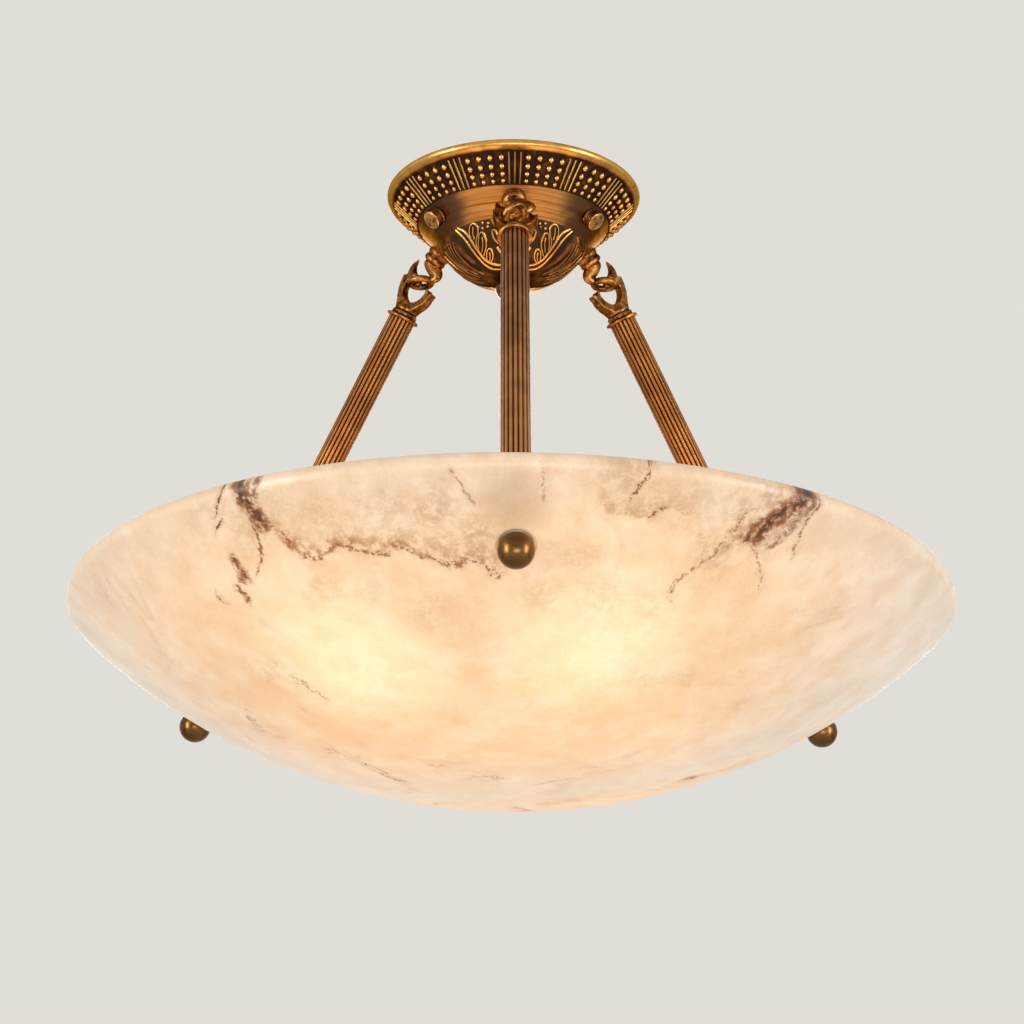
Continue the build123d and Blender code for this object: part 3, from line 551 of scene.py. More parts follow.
# The shield, drawn on one half: its double border, three nested loops that lean on it,
# the curls beside its middle, and four dots near the top. Each line ends with its
# thickness.
shield_lines = (
    (((39.5, 0.7), (36.0, 3.9), (32.3, 8.0), (29.0, 12.8), (25.7, 17.7), (22.5, 22.3), (18.7, 27.4),
      (13.6, 32.2), (8.0, 34.4)), 1.05),
    (((37.6, 0.2), (32.5, 3.4), (29.0, 7.3), (25.8, 12.6), (22.3, 18.1), (18.8, 23.4), (14.9, 27.3),
      (10.6, 30.0), (5.0, 31.4), (0.0, 31.8)), 1.25),
    (((27.2, 10.0), (28.1, 4.8), (26.4, 0.9), (22.5, 2.9), (21.9, 6.3), (23.5, 10.9), (22.9, 16.0)), 1.0),
    (((25.4, 2.6), (25.6, 6.0), (24.9, 9.8)), 0.8),
    (((22.0, 16.6), (21.8, 11.3), (20.1, 6.9), (17.5, 10.6), (16.6, 14.8), (18.6, 21.2)), 1.0),
    (((19.6, 9.6), (18.9, 13.8), (19.8, 18.6)), 0.8),
    (((16.5, 25.0), (16.5, 20.3), (15.1, 17.7), (12.9, 20.4), (12.7, 24.4), (14.2, 26.8)), 1.0),
    (((14.9, 19.9), (14.4, 22.6), (14.8, 25.6)), 0.8),
    (((13.5, 0.9), (9.7, 0.9), (6.0, 2.4)), 1.1),
    (((12.9, 1.6), (10.8, 4.7), (7.6, 8.2), (4.0, 10.2)), 1.0),
    (((8.2, 15.8), (10.8, 13.4), (12.6, 9.8), (12.3, 6.5), (10.2, 9.3), (7.6, 13.7)), 1.0),
    (((10.2, 17.4), (8.4, 20.5), (6.1, 23.5), (3.0, 25.8)), 1.1),
    (((7.8, 19.0), (5.6, 21.2), (3.0, 22.4)), 0.8),
    (((5.8, 5.0), (4.6, 8.6), (3.6, 13.4), (4.6, 18.0)), 0.8),
    (((0.8, 3.0), (0.6, 12.0), (0.8, 24.0)), 0.8),
)
shield_dots = ((18.9, 1.6), (15.4, 2.3), (19.0, 4.6), (15.7, 4.3))

# The leaf: a folded tip at its top, then ribs that run down side by side.
leaf_lines = (
    (((21.0, 1.0), (12.5, 4.4), (4.5, 2.6), (0.0, 1.4)), 1.0),
    (((19.6, 5.4), (15.4, 9.2), (12.6, 15.0), (10.2, 21.0), (8.4, 26.6), (6.6, 32.0)), 1.1),
    (((15.6, 4.6), (12.4, 8.4), (9.8, 14.0), (7.8, 20.6), (6.2, 27.0)), 0.9),
    (((11.4, 5.4), (9.0, 9.6), (6.8, 15.6), (5.2, 22.0), (4.0, 29.0)), 1.1),
    (((7.4, 5.2), (5.6, 10.0), (4.0, 16.4), (3.0, 23.0)), 0.8),
    (((3.4, 4.4), (2.4, 12.0), (1.8, 21.0), (1.4, 31.0)), 1.1),
)

bm = bmesh.new()
worn = bm.verts.layers.float.new("worn")
outer_arc = arc(cup_centre, cup_radius, math.degrees(cup_start), math.degrees(cup_finish), 44)
inner_arc = arc(cup_centre, cup_radius - cup_wall, math.degrees(cup_finish), math.degrees(cup_start), 10)
cup_outline = outer_arc + [(nipple_hole, cup_floor[1]), (nipple_hole, cup_floor[1] + cup_wall)]
cup_outline += [(cup_floor_radius, cup_floor[1] + cup_wall)] + inner_arc[1:] + [cup_top]
spun(bm, cup_outline, cup_steps)
# The leaves swell between the shields, with a shallow ridge under each of their ribs.
for vert in bm.verts:
    radius = math.hypot(vert.co.x, vert.co.y)
    reach = math.hypot(radius - cup_centre[0], vert.co.z - cup_centre[1])
    if abs(reach - cup_radius) > 0.01 * MM:
        continue
    angle = math.atan2(vert.co.z - cup_centre[1], radius - cup_centre[0])
    share = min(1.0, max(0.0, abs(angle - cup_start) * cup_radius / cup_length))
    turn = abs(math.degrees(math.atan2(vert.co.x, abs(vert.co.y))))
    leaf = min(1.0, max(0.0, (turn - leaf_edge) / 4.0))
    arch = math.sin(math.pi * share)
    ridge = math.cos(math.radians(turn * 22 + share * 300)) * arch
    out = leaf * (leaf_swell * math.sqrt(arch) + leaf_ridge * ridge)
    vert[worn] = leaf * (0.16 + 0.22 * ridge)
    on_centre = Vector((vert.co.x / radius, vert.co.y / radius, 0)) * cup_centre[0]
    on_centre.z = cup_centre[1]
    vert.co = on_centre + (vert.co - on_centre) * (1.0 + out / cup_radius)
for middle in shield_turns:
    lay_lines(bm, worn, middle, shield_lines)
    lay_dots(bm, worn, middle, [(side * x, y) for x, y in shield_dots for side in (-1, 1)])
for middle in leaf_turns:
    lay_lines(bm, worn, middle, leaf_lines, leaf_shine)
# The cup's recesses between its lines get painted shade through the patina's ambient occlusion.
cup_patina = patina("leaf_cup_patina", (0.24, 0.105, 0.036, 1), (0.052, 0.027, 0.016, 1))
leaf_cup = piece_of(bm, "leaf_cup_cast", "root", cup_patina, math.radians(60))
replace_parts(leaf_cup, "leaf_cup")

# ---- canopy hooks and claws
# Cast brass with the soft edges of a sand casting, browned and rubbed back by hand on
# its edges. The hooks' studs pass through the band and the claws screw on the arm rods.
casting_voxel = 0.42 * MM
casting_merge = 0.005 * MM


def cast_patina(name, bright, middle, dark):
    made, tree, shader, place = finish_of(name, 0.4, 1.0)
    shader.inputs["Specular Tint"].default_value = edge_tint
    edges = wire(tree, "NewGeometry").outputs["Pointiness"]
    cloud = noise(place, 120.0, 5.0, 0.6, 0.6)
    mottle = noise(place, 420.0, 3.0)
    wear_and_painted_light = plus(ramp(edges, 0.46, 0.58, 0.0, 1.0, "LINEAR"),
                    ramp(cloud, 0.3, 0.7, -0.40, 0.40))
    # Painted shade: ambient occlusion darkens the recesses of hooks, claws and feet, on top of their dark
    # wax.
    wear_and_painted_light = plus(wear_and_painted_light, ramp(wax_and_shade_in_hollows(tree, 2.6 * MM), 0.0, 1.0, -0.45, 0.05))
    low = blend_colours(ramp(wear_and_painted_light, -0.1, 0.42), dark, middle)
    full = blend_colours(ramp(wear_and_painted_light, 0.42, 1.0), low, bright)
    spots = blend_colours(ramp(mottle, 0.58, 0.70, 0.0, 0.5), full, middle)
    tree.links.new(spots, shader.inputs["Base Color"])
    tree.links.new(ramp(cloud, 0.3, 0.7, 0.26, 0.44), shader.inputs["Roughness"])
    bump(shader, mottle, 0.18 * MM, 0.5)
    return made


def softened(node, name, body, finish):
    """Copy of a node with merged corners and the rounded edges of a casting."""
    bm = bmesh.new()
    bm.from_mesh(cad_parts[node].data)
    bmesh.ops.remove_doubles(bm, verts=bm.verts, dist=casting_merge)
    made = object_of(bm, name)
    remesh = made.modifiers.new("skin", "REMESH")
    remesh.mode = "VOXEL"
    remesh.voxel_size = casting_voxel
    smooth = made.modifiers.new("soft", "SMOOTH")
    smooth.factor = 0.5
    smooth.iterations = 4
    view = bpy.context.evaluated_depsgraph_get()
    sharp_mesh = made.data
    soft_mesh = bpy.data.meshes.new_from_object(made.evaluated_get(view))
    made.modifiers.clear()
    made.data = soft_mesh
    bpy.data.meshes.remove(sharp_mesh)
    soft_mesh.name = name
    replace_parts(dressed(made, body, finish), node)


hook_patina = cast_patina(
    "hook_patina", (0.62, 0.30, 0.080, 1), (0.25, 0.100, 0.028, 1), (0.036, 0.016, 0.008, 1))
claw_patina = cast_patina(
    "claw_patina", (0.60, 0.29, 0.088, 1), (0.23, 0.095, 0.030, 1), (0.036, 0.016, 0.009, 1))
arm_numbers = ("1", "2", "3")
for number in arm_numbers:
    softened("canopy_hook_" + number, "hook_cast_" + number, "root", hook_patina)
    softened("arm_claw_" + number, "claw_cast_" + number, "bowl_assembly", claw_patina)

# ---- reeded arm tubes
# Drawn brass tube with eighteen rounded reeds, held between claw and foot by the rod that
# runs through it. The flutes keep their dark patina and the crests are rubbed brown gold, and they are
# painted brighter low down as the glowing bowl's light.
eye_from_axis = 64.5 * MM
eye_drop = 43.5 * MM
arm_lean = math.radians(30.67)
arm_turns = (0.0, 120.0, -120.0)
reed_count = 18
reed_radius = 1.28 * MM
tube_radius = 8.15 * MM
tube_bore = 5.2 * MM
points_per_reed = 10
tube_levels = (0.25, 0.5, 0.75, 1.0)    # rings up the tube, as shares of its length


def arm_matrix(turn):
    """Frame of an arm: origin in its eye, Z up the tube, X outwards."""
    leaning = Matrix((
        (0, 1, 0, 0),
        (-math.cos(arm_lean), 0, math.sin(arm_lean), -eye_from_axis),
        (math.sin(arm_lean), 0, math.cos(arm_lean), -eye_drop),
        (0, 0, 0, 1),
    ))
    return Matrix.Rotation(math.radians(turn), 4, "Z") @ leaning


def reeded_brass():
    made, tree, shader, place = finish_of("reeded_tube_brass", 0.4, 1.0)
    crest = wire(tree, "Attribute", settings={"attribute_name": "crest"}).outputs["Fac"]
    cloud = noise(place, 70.0, 4.0)
    height = wire(tree, "SeparateXYZ", {0: place}).outputs["Z"]
    wear_and_painted_light = plus(crest, ramp(cloud, 0.3, 0.7, -0.08, 0.08))
    # Painted light: the tube is painted brighter towards its bottom, near the glowing bowl.
    wear_and_painted_light = plus(wear_and_painted_light, ramp(height, -0.10, -0.24, -0.14, 0.08))
    flutes, flanks, crests = (0.018, 0.009, 0.006, 1), (0.27, 0.095, 0.024, 1), (0.52, 0.235, 0.070, 1)
    low = blend_colours(ramp(wear_and_painted_light, 0.20, 0.70), flutes, flanks)
    full = blend_colours(ramp(wear_and_painted_light, 0.72, 1.05), low, crests)
    tree.links.new(full, shader.inputs["Base Color"])
    tree.links.new(ramp(wear_and_painted_light, 0.2, 0.9, 0.55, 0.33), shader.inputs["Roughness"])
    bump(shader, noise(place, 600.0, 2.0), 0.06 * MM, 0.4)
    return made


tube_finish = reeded_brass()
pitch_radius = tube_radius - reed_radius
half_pitch = math.pi / reed_count
valley = pitch_radius * math.cos(half_pitch) + math.sqrt(
    reed_radius ** 2 - (pitch_radius * math.sin(half_pitch)) ** 2)
for number, turn in zip(arm_numbers, arm_turns):
    to_arm = arm_matrix(turn).inverted()
    heights = [(to_arm @ vert.co).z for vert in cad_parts["arm_tube_" + number].data.vertices]
    low, high = min(heights), max(heights)
    bm = bmesh.new()
    crest = bm.verts.layers.float.new("crest")
    ring = []
    for reed in range(reed_count):
        for step in range(points_per_reed):
            off = (step / points_per_reed * 2 - 1) * half_pitch
            chord = pitch_radius * math.sin(off)
            reach = pitch_radius * math.cos(off) + math.sqrt(reed_radius ** 2 - chord ** 2)
            angle = reed * math.tau / reed_count + off
            vert = bm.verts.new((reach * math.cos(angle), reach * math.sin(angle), low))
            vert[crest] = (reach - valley) / (tube_radius - valley)
            ring.append(vert)
    edges = [bm.edges.new(pair) for pair in zip(ring, ring[1:] + ring[:1])]
    for level in tube_levels:
        grown = bmesh.ops.extrude_edge_only(bm, edges=edges)["geom"]
        edges = [item for item in grown if isinstance(item, bmesh.types.BMEdge)]
        for item in grown:
            if isinstance(item, bmesh.types.BMVert):
                item.co.z = low + (high - low) * level
    bmesh.ops.create_cone(
        bm, segments=48, radius1=tube_bore, radius2=tube_bore, depth=high - low, cap_ends=False,
        matrix=Matrix.Translation((0, 0, (high + low) / 2)))
    for level in (low, high):
        rim = [edge for edge in bm.edges if edge.is_boundary
               and all(abs(vert.co.z - level) < 0.001 * MM for vert in edge.verts)]
        bmesh.ops.bridge_loops(bm, edges=rim)
    bmesh.ops.transform(bm, matrix=arm_matrix(turn), verts=bm.verts)
    tube = piece_of(
        bm, "reeded_tube_" + number, "bowl_assembly", tube_finish, math.radians(50))
    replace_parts(tube, "arm_tube_" + number)

# ---- arm feet, rods and washers
# The foot is turned from brass bar and stands on a rubber washer on the inside of the
# bowl. A plain steel rod runs through tube, foot and bowl and holds them together.


def pale_rubber():
    made, _, shader, _, cloud = clouded(
        "washer_rubber", 0.6, 0.0, 300.0, 3.0, ((0.34, 0.27, 0.19, 1), (0.42, 0.34, 0.25, 1)))
    bump(shader, cloud, 0.03 * MM)
    return made


rubber = pale_rubber()
for number in arm_numbers:
    softened("arm_foot_" + number, "foot_turned_" + number, "bowl_assembly", claw_patina)
    coat("arm_rod_" + number, zinc_plating)
for node in ("inner_washers", "outer_washers"):
    coat(node, rubber)

# ---- alabaster bowl
# Turned from one block of alabaster, 12 mm thick with a rounded rim, drilled for the three
# rods and polished. The light of the lamps inside is painted on it as a cream glow, and brown clay veins
# cross the stone.
sphere_radius = 368.0 * MM
sphere_height = -2.0 * MM
bowl_width = 504.0 * MM
bowl_wall = 12.0 * MM
bowl_steps = 320
rod_hole = 4.5 * MM
inner_flat = 13.0 * MM
inner_flat_depth = 1.6 * MM
outer_flat = 10.5 * MM
outer_flat_depth = 2.2 * MM
drill_run = 12.0 * MM                   # how far the drill stands out of the stone
middle_radius = sphere_radius - bowl_wall / 2
rim_angle = math.asin((bowl_width / 2 - bowl_wall / 2) / middle_radius)
rim_centre = (middle_radius * math.sin(rim_angle), sphere_height - middle_radius * math.cos(rim_angle))

# The stone's colours, and the glow painted on it where it is far from a lamp, in the middle and near.
stone_base = (0.54, 0.42, 0.30, 1)
stone_milky = (0.60, 0.49, 0.38, 1)
stone_mottled = (0.975, 0.925, 0.875, 1)
clay_tint = (0.43, 0.235, 0.10, 1)
vein_brown = (0.34, 0.17, 0.085, 1)
vein_black = (0.060, 0.030, 0.026, 1)
glow_far = (0.26, 0.255, 0.250, 1)
glow_middle = (0.40, 0.205, 0.070, 1)
glow_hot = (0.50, 0.46, 0.25, 1)
glow_rim = (0.34, 0.27, 0.19, 1)
glow_milky = (0.36, 0.26, 0.17, 1)
glow_spots = ((-85, -137, -333), (41, -160, -331), (44, 158, -333))   # mm, brightest stone
# A painted shadow of the front foot, grey-brown, lies on the stone about this place.
foot_shade = (-2, -237, -283)           # mm, where the front foot stands inside
foot_shadow = (0.60, 0.51, 0.44, 1)

# Veins in the stone, each a row of (x, z) places in mm on the bowl's front: its half
# width in mm and how dark it is. The steep ones run down the bowl, the level ones across.
steep_veins = (
    (((-137, -277), (-133, -285), (-130, -293), (-133, -301)), 1.3, 0.65),
    (((-149, -264), (-150, -270), (-155, -277)), 1.1, 0.9),
    (((-151, -277), (-153, -283)), 1.3, 0.9),
    (((-154, -300), (-152, -305), (-148, -308)), 0.8, 0.6),
    (((-120, -286), (-116, -290), (-113, -295)), 1.3, 0.6),
    (((-34, -270), (-28, -278), (-20, -286)), 1.8, 0.34),
    (((70, -264), (66, -270), (61, -275), (55, -281)), 1.7, 0.60),
    (((157, -265), (152, -272), (147, -279), (141, -292)), 1.4, 0.50),
    (((122, -277), (112, -284), (103, -292), (97, -299), (84, -306), (78, -315)), 2.4, 0.42),
    (((117, -288), (124, -297), (126, -307)), 1.5, 0.35),
    (((12, -267), (14, -276), (13, -286)), 1.2, 0.30),
)
level_veins = (
    (((-112, -294), (-104, -298), (-98, -299), (-90, -296), (-81, -298), (-72, -301), (-62, -300)),
     1.5, 0.50),
    (((-60, -296), (-50, -301), (-40, -303), (-34, -306), (-26, -306), (-18, -306), (-6, -311)),
     1.4, 0.46),
    (((64, -286), (70, -284), (76, -283)), 1.2, 0.60),
    (((-146, -337), (-139, -342), (-123, -348)), 1.2, 0.60),
    (((-120, -335), (-98, -344)), 1.0, 0.35),
    (((-106, -355), (-90, -358), (-76, -362)), 1.1, 0.50),
    (((-42, -368), (-27, -369), (-5, -370)), 0.8, 0.50),
)

# Broad dark smears, drawn the same way, whose edges fade into the stone.
smears = (
    (((-141, -264), (-138, -272), (-133, -278), (-126, -287)), 6.4, 1.05),
    (((-130, -264), (-133, -276)), 4.2, 0.55),
    (((-145, -291), (-141, -297), (-136, -303)), 4.0, 0.85),
    (((-145, -300), (-141, -304), (-138, -310)), 3.2, 0.75),
    (((152, -262), (147, -269), (138, -275), (129, -281), (116, -290)), 9.0, 1.10),
    (((150, -264), (141, -279), (128, -290)), 6.0, 0.55),
    (((118, -284), (107, -292), (96, -300)), 6.0, 0.34),
)

# Brown clay that lies above a ragged lower edge: the edge, how far up it reaches, depth.
clay_banks = (
    (((-125, -288), (-112, -295), (-98, -300), (-88, -297), (-74, -301), (-60, -299), (-48, -301)),
     26.0, 0.62),
    (((-62, -297), (-50, -302), (-40, -304), (-30, -307), (-18, -306), (-4, -312)), 30.0, 0.50),
    (((40, -284), (56, -287), (72, -284), (88, -286)), 22.0, 0.34),
)

# Clouds of the same clay: x and z of the middle, half width and half height in mm, depth.
clay_clouds = (
    (-41, -286, 15, 11, 0.45), (-88, -292, 20, 7, 0.40), (-36, -299, 13, 6, 0.45),
    (-66, -284, 20, 9, 0.35), (-100, -283, 16, 8, 0.30), (-20, -296, 14, 10, 0.45), (134, -273, 20, 12, 0.62),
    (118, -284, 18, 13, 0.52), (100, -296, 14, 12, 0.36), (56, -272, 20, 10, 0.42), (86, -280, 22, 12, 0.30),
    (-134, -282, 14, 17, 0.34), (-98, -310, 16, 8, 0.22), (-71, -313, 14, 8, 0.20), (12, -315, 17, 9, 0.24),
    (43, -316, 20, 10, 0.22), (66, -318, 14, 8, 0.20), (-43, -322, 16, 9, 0.18), (30, -302, 18, 8, 0.22),
)


def drawn_line(across, along, points):
    """How far across is from a line through the points, and 1 along it, in mm."""
    points = sorted(points, key=lambda point: point[1])
    low, high = points[0][1], points[-1][1]
    drawn = wire(along.id_data, "FloatCurve", {"Value": ramp(along, low, high, steps="LINEAR")})
    line = drawn.mapping.curves[0]
    while len(line.points) < len(points):
        line.points.new(0.5, 0.5)
    for knot, (sideways, height) in zip(line.points, points):
        knot.location = ((height - low) / (high - low), sideways / 1000 + 0.5)
    drawn.mapping.update()
    centre = ramp(drawn.outputs[0], 0.0, 1.0, -500.0, 500.0, steps="LINEAR")
    starts, ends = ramp(along, low - 1.5, low + 3.0), ramp(along, high + 1.5, high - 3.0)
    return less(across, centre), times(starts, ends)


def vein_shares(across, along, veins):
    """The dark cores of some veins and the brown stain round them."""
    dark = stained = 0.0
    for points, half_width, depth in veins:
        off, run = drawn_line(across, along, points)
        apart = reckon("ABSOLUTE", off)
        core = ramp(apart, half_width, half_width * 0.15, 0.0, depth)
        stain = ramp(apart, half_width * 3.0 + 1.0, 0.0, 0.0, 0.55 * depth)
        dark = larger(dark, times(core, run))
        stained = larger(stained, times(stain, run))
    return dark, stained


def swapped(rows):
    """The same rows with each place's two numbers exchanged."""
    return [([(up, along) for along, up in points], *rest) for points, *rest in rows]


def smear_share(across, along):
    smeared = 0.0
    for points, half_width, depth in smears:
        off, run = drawn_line(across, along, points)
        soft = ramp(reckon("ABSOLUTE", off), half_width, 0.0, 0.0, depth, steps="LINEAR")
        smeared = larger(smeared, times(soft, run))
    return smeared


def bank_share(across, along):
    banked = 0.0
    for points, reach_up, depth in swapped(clay_banks):
        above, run = drawn_line(across, along, points)
        wide = ramp(above, reach_up, 1.0, 0.0, 0.55 * depth)
        fringe = ramp(above, 9.0, 0.5, 0.0, depth)
        lower_edge = ramp(above, -0.8, 1.4)
        bank = times(lower_edge, plus(wide, fringe))
        banked = larger(banked, times(bank, run))
    return banked


def cloud_share(across, along):
    clouded_share = 0.0
    flat = wire(across.id_data, "CombineXYZ", {"X": across, "Y": along}).outputs[0]
    for x, z, half_width, half_height, depth in clay_clouds:
        off = reckon_vector("SUBTRACT", flat, (x, z, 0))
        off = reckon_vector("DIVIDE", off, (half_width, half_height, 1))
        cloud = ramp(reckon_vector("LENGTH", off), 1.3, 0.1, 0.0, depth)
        clouded_share = larger(clouded_share, cloud)
    return clouded_share


def glow_near(skin, near, far):
    """1 nearer to a lamp's bright spot than near, 0 beyond far."""
    first, second, third = (reckon_vector("DISTANCE", skin, spot) for spot in glow_spots)
    nearest = reckon("MINIMUM", reckon("MINIMUM", first, second), third)
    return ramp(nearest, far, near)


def grey_of(share):
    return wire(share.id_data, "CombineXYZ", {0: share, 1: share, 2: share}).outputs[0]


def alabaster():
    made, tree, shader, place = finish_of("alabaster", 0.36)
    # Every pattern is read where the ray from the sphere's centre leaves the stone, in mm,
    # so a vein runs through the whole wall. Two noises make its course ragged.
    outward = reckon_vector("SUBTRACT", place, (0, 0, sphere_height))
    outward = reckon_vector("NORMALIZE", outward)
    skin = reckon_vector("MULTIPLY", outward, [sphere_radius / MM] * 3)
    ragged = skin
    for scale, reach in ((0.045, 7.0), (0.17, 4.8)):
        swirl = wire(tree, "TexNoise", {"Vector": skin, "Scale": scale, "Detail": 4.0}).outputs["Color"]
        swirl = reckon_vector("SUBTRACT", swirl, (0.5, 0.5, 0.5))
        ragged = reckon_vector("ADD", ragged, reckon_vector("MULTIPLY", swirl, [reach] * 3))
    parts = wire(tree, "SeparateXYZ", {0: ragged}).outputs
    across, height = parts["X"], plus(parts["Z"], sphere_height / MM)
    front = ramp(parts["Y"], 0.0, -60.0)
    speckle = noise(skin, 0.62, 4.0, 0.65)
    broken = ramp(speckle, 0.40, 0.58, 0.10, 1.0)
    torn = ramp(noise(skin, 0.16, 6.0, 0.68), 0.38, 0.60, 0.12, 1.0)
    ragged_edge = ramp(noise(skin, 0.30, 5.0, 0.7), 0.36, 0.58, 0.25, 1.0)

    # The front, vein by vein.
    steep_dark, steep_stain = vein_shares(across, height, steep_veins)
    level_dark, level_stain = vein_shares(height, across, swapped(level_veins))
    dark = times(larger(steep_dark, level_dark), broken)
    smeared = times(smear_share(across, height), ragged_edge)
    dark = times(larger(dark, smeared), front)
    stained = larger(steep_stain, level_stain)
    banked = larger(bank_share(height, across), cloud_share(across, height))
    cloudy = times(larger(stained, banked), torn)
    cloudy = times(cloudy, front)

    # Everywhere in the block: thin wandering veins in the folds of a noise, a few brown
    # clouds and paler, more opaque patches.
    fold = less(noise(ragged, 0.011, 4.0, 0.55, 0.7), 0.5)
    fold = reckon("ABSOLUTE", fold)
    patch = noise(skin, 0.018, 3.0, 0.5)
    wander = times(ramp(fold, 0.007, 0.001), ramp(patch, 0.54, 0.64))
    wander = times(wander, broken)
    wander = times(wander, ramp(front, 0, 1, 0.75, 0.16))
    dark = larger(dark, wander)
    haze = times(ramp(fold, 0.05, 0.0), ramp(patch, 0.50, 0.66, 0.0, 0.30))
    haze = times(haze, ramp(front, 0, 1, 1.0, 0.5))
    cloudy = larger(cloudy, haze)
    milk = ramp(noise(ragged, 0.035, 5.0, 0.6), 0.40, 0.66)
    grain = ramp(noise(skin, 0.9, 3.0, 0.7), 0.3, 0.7, 0.95, 1.03)
    mottle = ramp(noise(ragged, 0.055, 5.0, 0.6), 0.42, 0.62)
    shaded = reckon_vector("DISTANCE", skin, foot_shade)

    # How clear the stone is, with a painted shadow of the front foot, then its own colour and the light that
    # comes through it.
    clear = blend_colours(mottle, (1, 1, 1, 1), stone_mottled)
    # Painted shadow: the stone turns grey-brown round the front foot.
    clear = blend_colours(ramp(shaded, 26.0, 6.0, 0.0, 0.62), clear, foot_shadow)
    clear = blend_colours(cloudy, clear, clay_tint)
    clear = blend_colours(ramp(dark, 0.0, 0.55), clear, vein_brown)
    clear = blend_colours(ramp(dark, 0.50, 1.0, 0.0, 0.9), clear, vein_black)
    clear = blend_colours(1.0, clear, grey_of(grain), "MULTIPLY")
    stone = blend_colours(milk, stone_base, stone_milky)
    stone = blend_colours(1.0, stone, clear, "MULTIPLY")
    rim = ramp(wire(tree, "SeparateXYZ", {0: place}).outputs["Z"], rim_centre[1] + 1.5 * MM,
               rim_centre[1] + 4.5 * MM, 0.0, 0.6)
    # The painted glow is made stronger low down and weaker high up.
    low_down = ramp(height, -325.0, -368.0, 0.0, 0.42)
    high_up = ramp(height, -305.0, -262.0, 1.0, 0.66)
    light = blend_colours(glow_near(skin, 55.0, 235.0), glow_far, glow_middle)
    light = blend_colours(glow_near(skin, 8.0, 75.0), light, glow_hot)
    light = blend_colours(rim, light, glow_rim)
    light = blend_colours(times(milk, 0.22), light, glow_milky)
    light = blend_colours(1.0, light, grey_of(plus(high_up, low_down)), "MULTIPLY")
    light = blend_colours(1.0, light, clear, "MULTIPLY")
    tree.links.new(stone, shader.inputs["Base Color"])
    # The light through the stone is painted on it as emission.
    tree.links.new(light, shader.inputs["Emission Color"])
    shader.inputs["Emission Strength"].default_value = 1.0
    shader.inputs["Specular IOR Level"].default_value = 0.45
    bump(shader, speckle, 0.05 * MM, 0.3)
    return made


def reach_to(arm, radius):
    """How far below an arm's eye its axis meets a sphere about the bowl's centre."""
    start = arm.translation - Vector((0, 0, sphere_height))
    along = start.dot(-arm.col[2].to_3d())
    return -along + math.sqrt(along ** 2 - start.length_squared + radius ** 2)


def spun_blank(name, outline, steps, matrix=Matrix()):
    """A closed turned shape on its own, to cut or to be cut."""
    bm = bmesh.new()
    spun(bm, outline, steps)
    closed(bm)
    bmesh.ops.transform(bm, matrix=matrix, verts=bm.verts)
    return object_of(bm, name)


rim_degrees = math.degrees(rim_angle)
outer_wall = arc((0, sphere_height), sphere_radius, -90, -90 + rim_degrees, 60)
rim_round = arc(rim_centre, bowl_wall / 2, -90 + rim_degrees, 90 + rim_degrees, 12)
inner_wall = arc((0, sphere_height), sphere_radius - bowl_wall, -90 + rim_degrees, -90, 40)
blank = spun_blank("bowl_blank", outer_wall + rim_round[1:-1] + inner_wall, bowl_steps)

# A stepped drill for each rod: a seat for the foot inside, the hole, and a seat for the
# ball nut's washer outside.
drills = []
for turn in arm_turns:
    arm = arm_matrix(turn)
    inner_seat = -reach_to(arm, sphere_radius - bowl_wall) - inner_flat_depth
    outer_seat = -reach_to(arm, sphere_radius) + outer_flat_depth
    top, bottom = inner_seat + drill_run, outer_seat - drill_run
    steps_down = [(0, bottom), (outer_flat, bottom), (outer_flat, outer_seat), (rod_hole, outer_seat)]
    steps_down += [(rod_hole, inner_seat), (inner_flat, inner_seat), (inner_flat, top), (0, top)]
    drills.append(spun_blank("drill", steps_down, 48, arm))
    drilled = blank.modifiers.new("drilled", "BOOLEAN")
    drilled.operation = "DIFFERENCE"
    drilled.object = drills[-1]
view = bpy.context.evaluated_depsgraph_get()
bm = bmesh.new()
bm.from_mesh(blank.evaluated_get(view).to_mesh())
for spent in drills + [blank]:
    bpy.data.meshes.remove(spent.data)
bowl = piece_of(bm, "bowl_alabaster", "bowl_assembly", alabaster())
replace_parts(bowl, "bowl")

# ---- ball nuts
# Solid brass balls, bronzed nearly black and polished, with a blind thread and a flat that
# clamps the bowl through a thin washer. They are screwed on from below by hand.
ball_radius = 9.5 * MM
ball_height = 14.5 * MM
ball_steps = 64
ball_rim = 0.6 * MM


def dark_brass():
    made, tree, shader, place, cloud = clouded(
        "dark_bronzed_brass", 0.22, 1.0, 60.0, 4.0, ((0.105, 0.052, 0.016, 1), (0.20, 0.100, 0.032, 1)),
        (0.3, 0.72))
    tree.links.new(ramp(cloud, 0.3, 0.7, 0.20, 0.32), shader.inputs["Roughness"])
    bump(shader, noise(place, 700.0, 3.0), 0.02 * MM, 0.3)
    return made


bronzed = dark_brass()
ball_drop = ball_height - ball_radius       # from the flat to the ball's middle
flat_angle = math.degrees(math.asin(ball_drop / ball_radius))
flat_radius = ball_radius * math.cos(math.radians(flat_angle))
for number, turn in zip(arm_numbers, arm_turns):
    to_arm = arm_matrix(turn).inverted()
    top = max((to_arm @ vert.co).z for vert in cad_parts["ball_nut_" + number].data.vertices)
    bm = bmesh.new()
    outline = arc((0, top - ball_drop), ball_radius, -90, flat_angle, 28)
    spun(bm, outline + [(flat_radius - ball_rim, top), (0, top)], ball_steps)
    bmesh.ops.transform(bm, matrix=arm_matrix(turn), verts=bm.verts)
    ball = piece_of(bm, "ball_nut_turned_" + number, "ball_nut_" + number, bronzed)
    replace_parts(ball, "ball_nut_" + number)

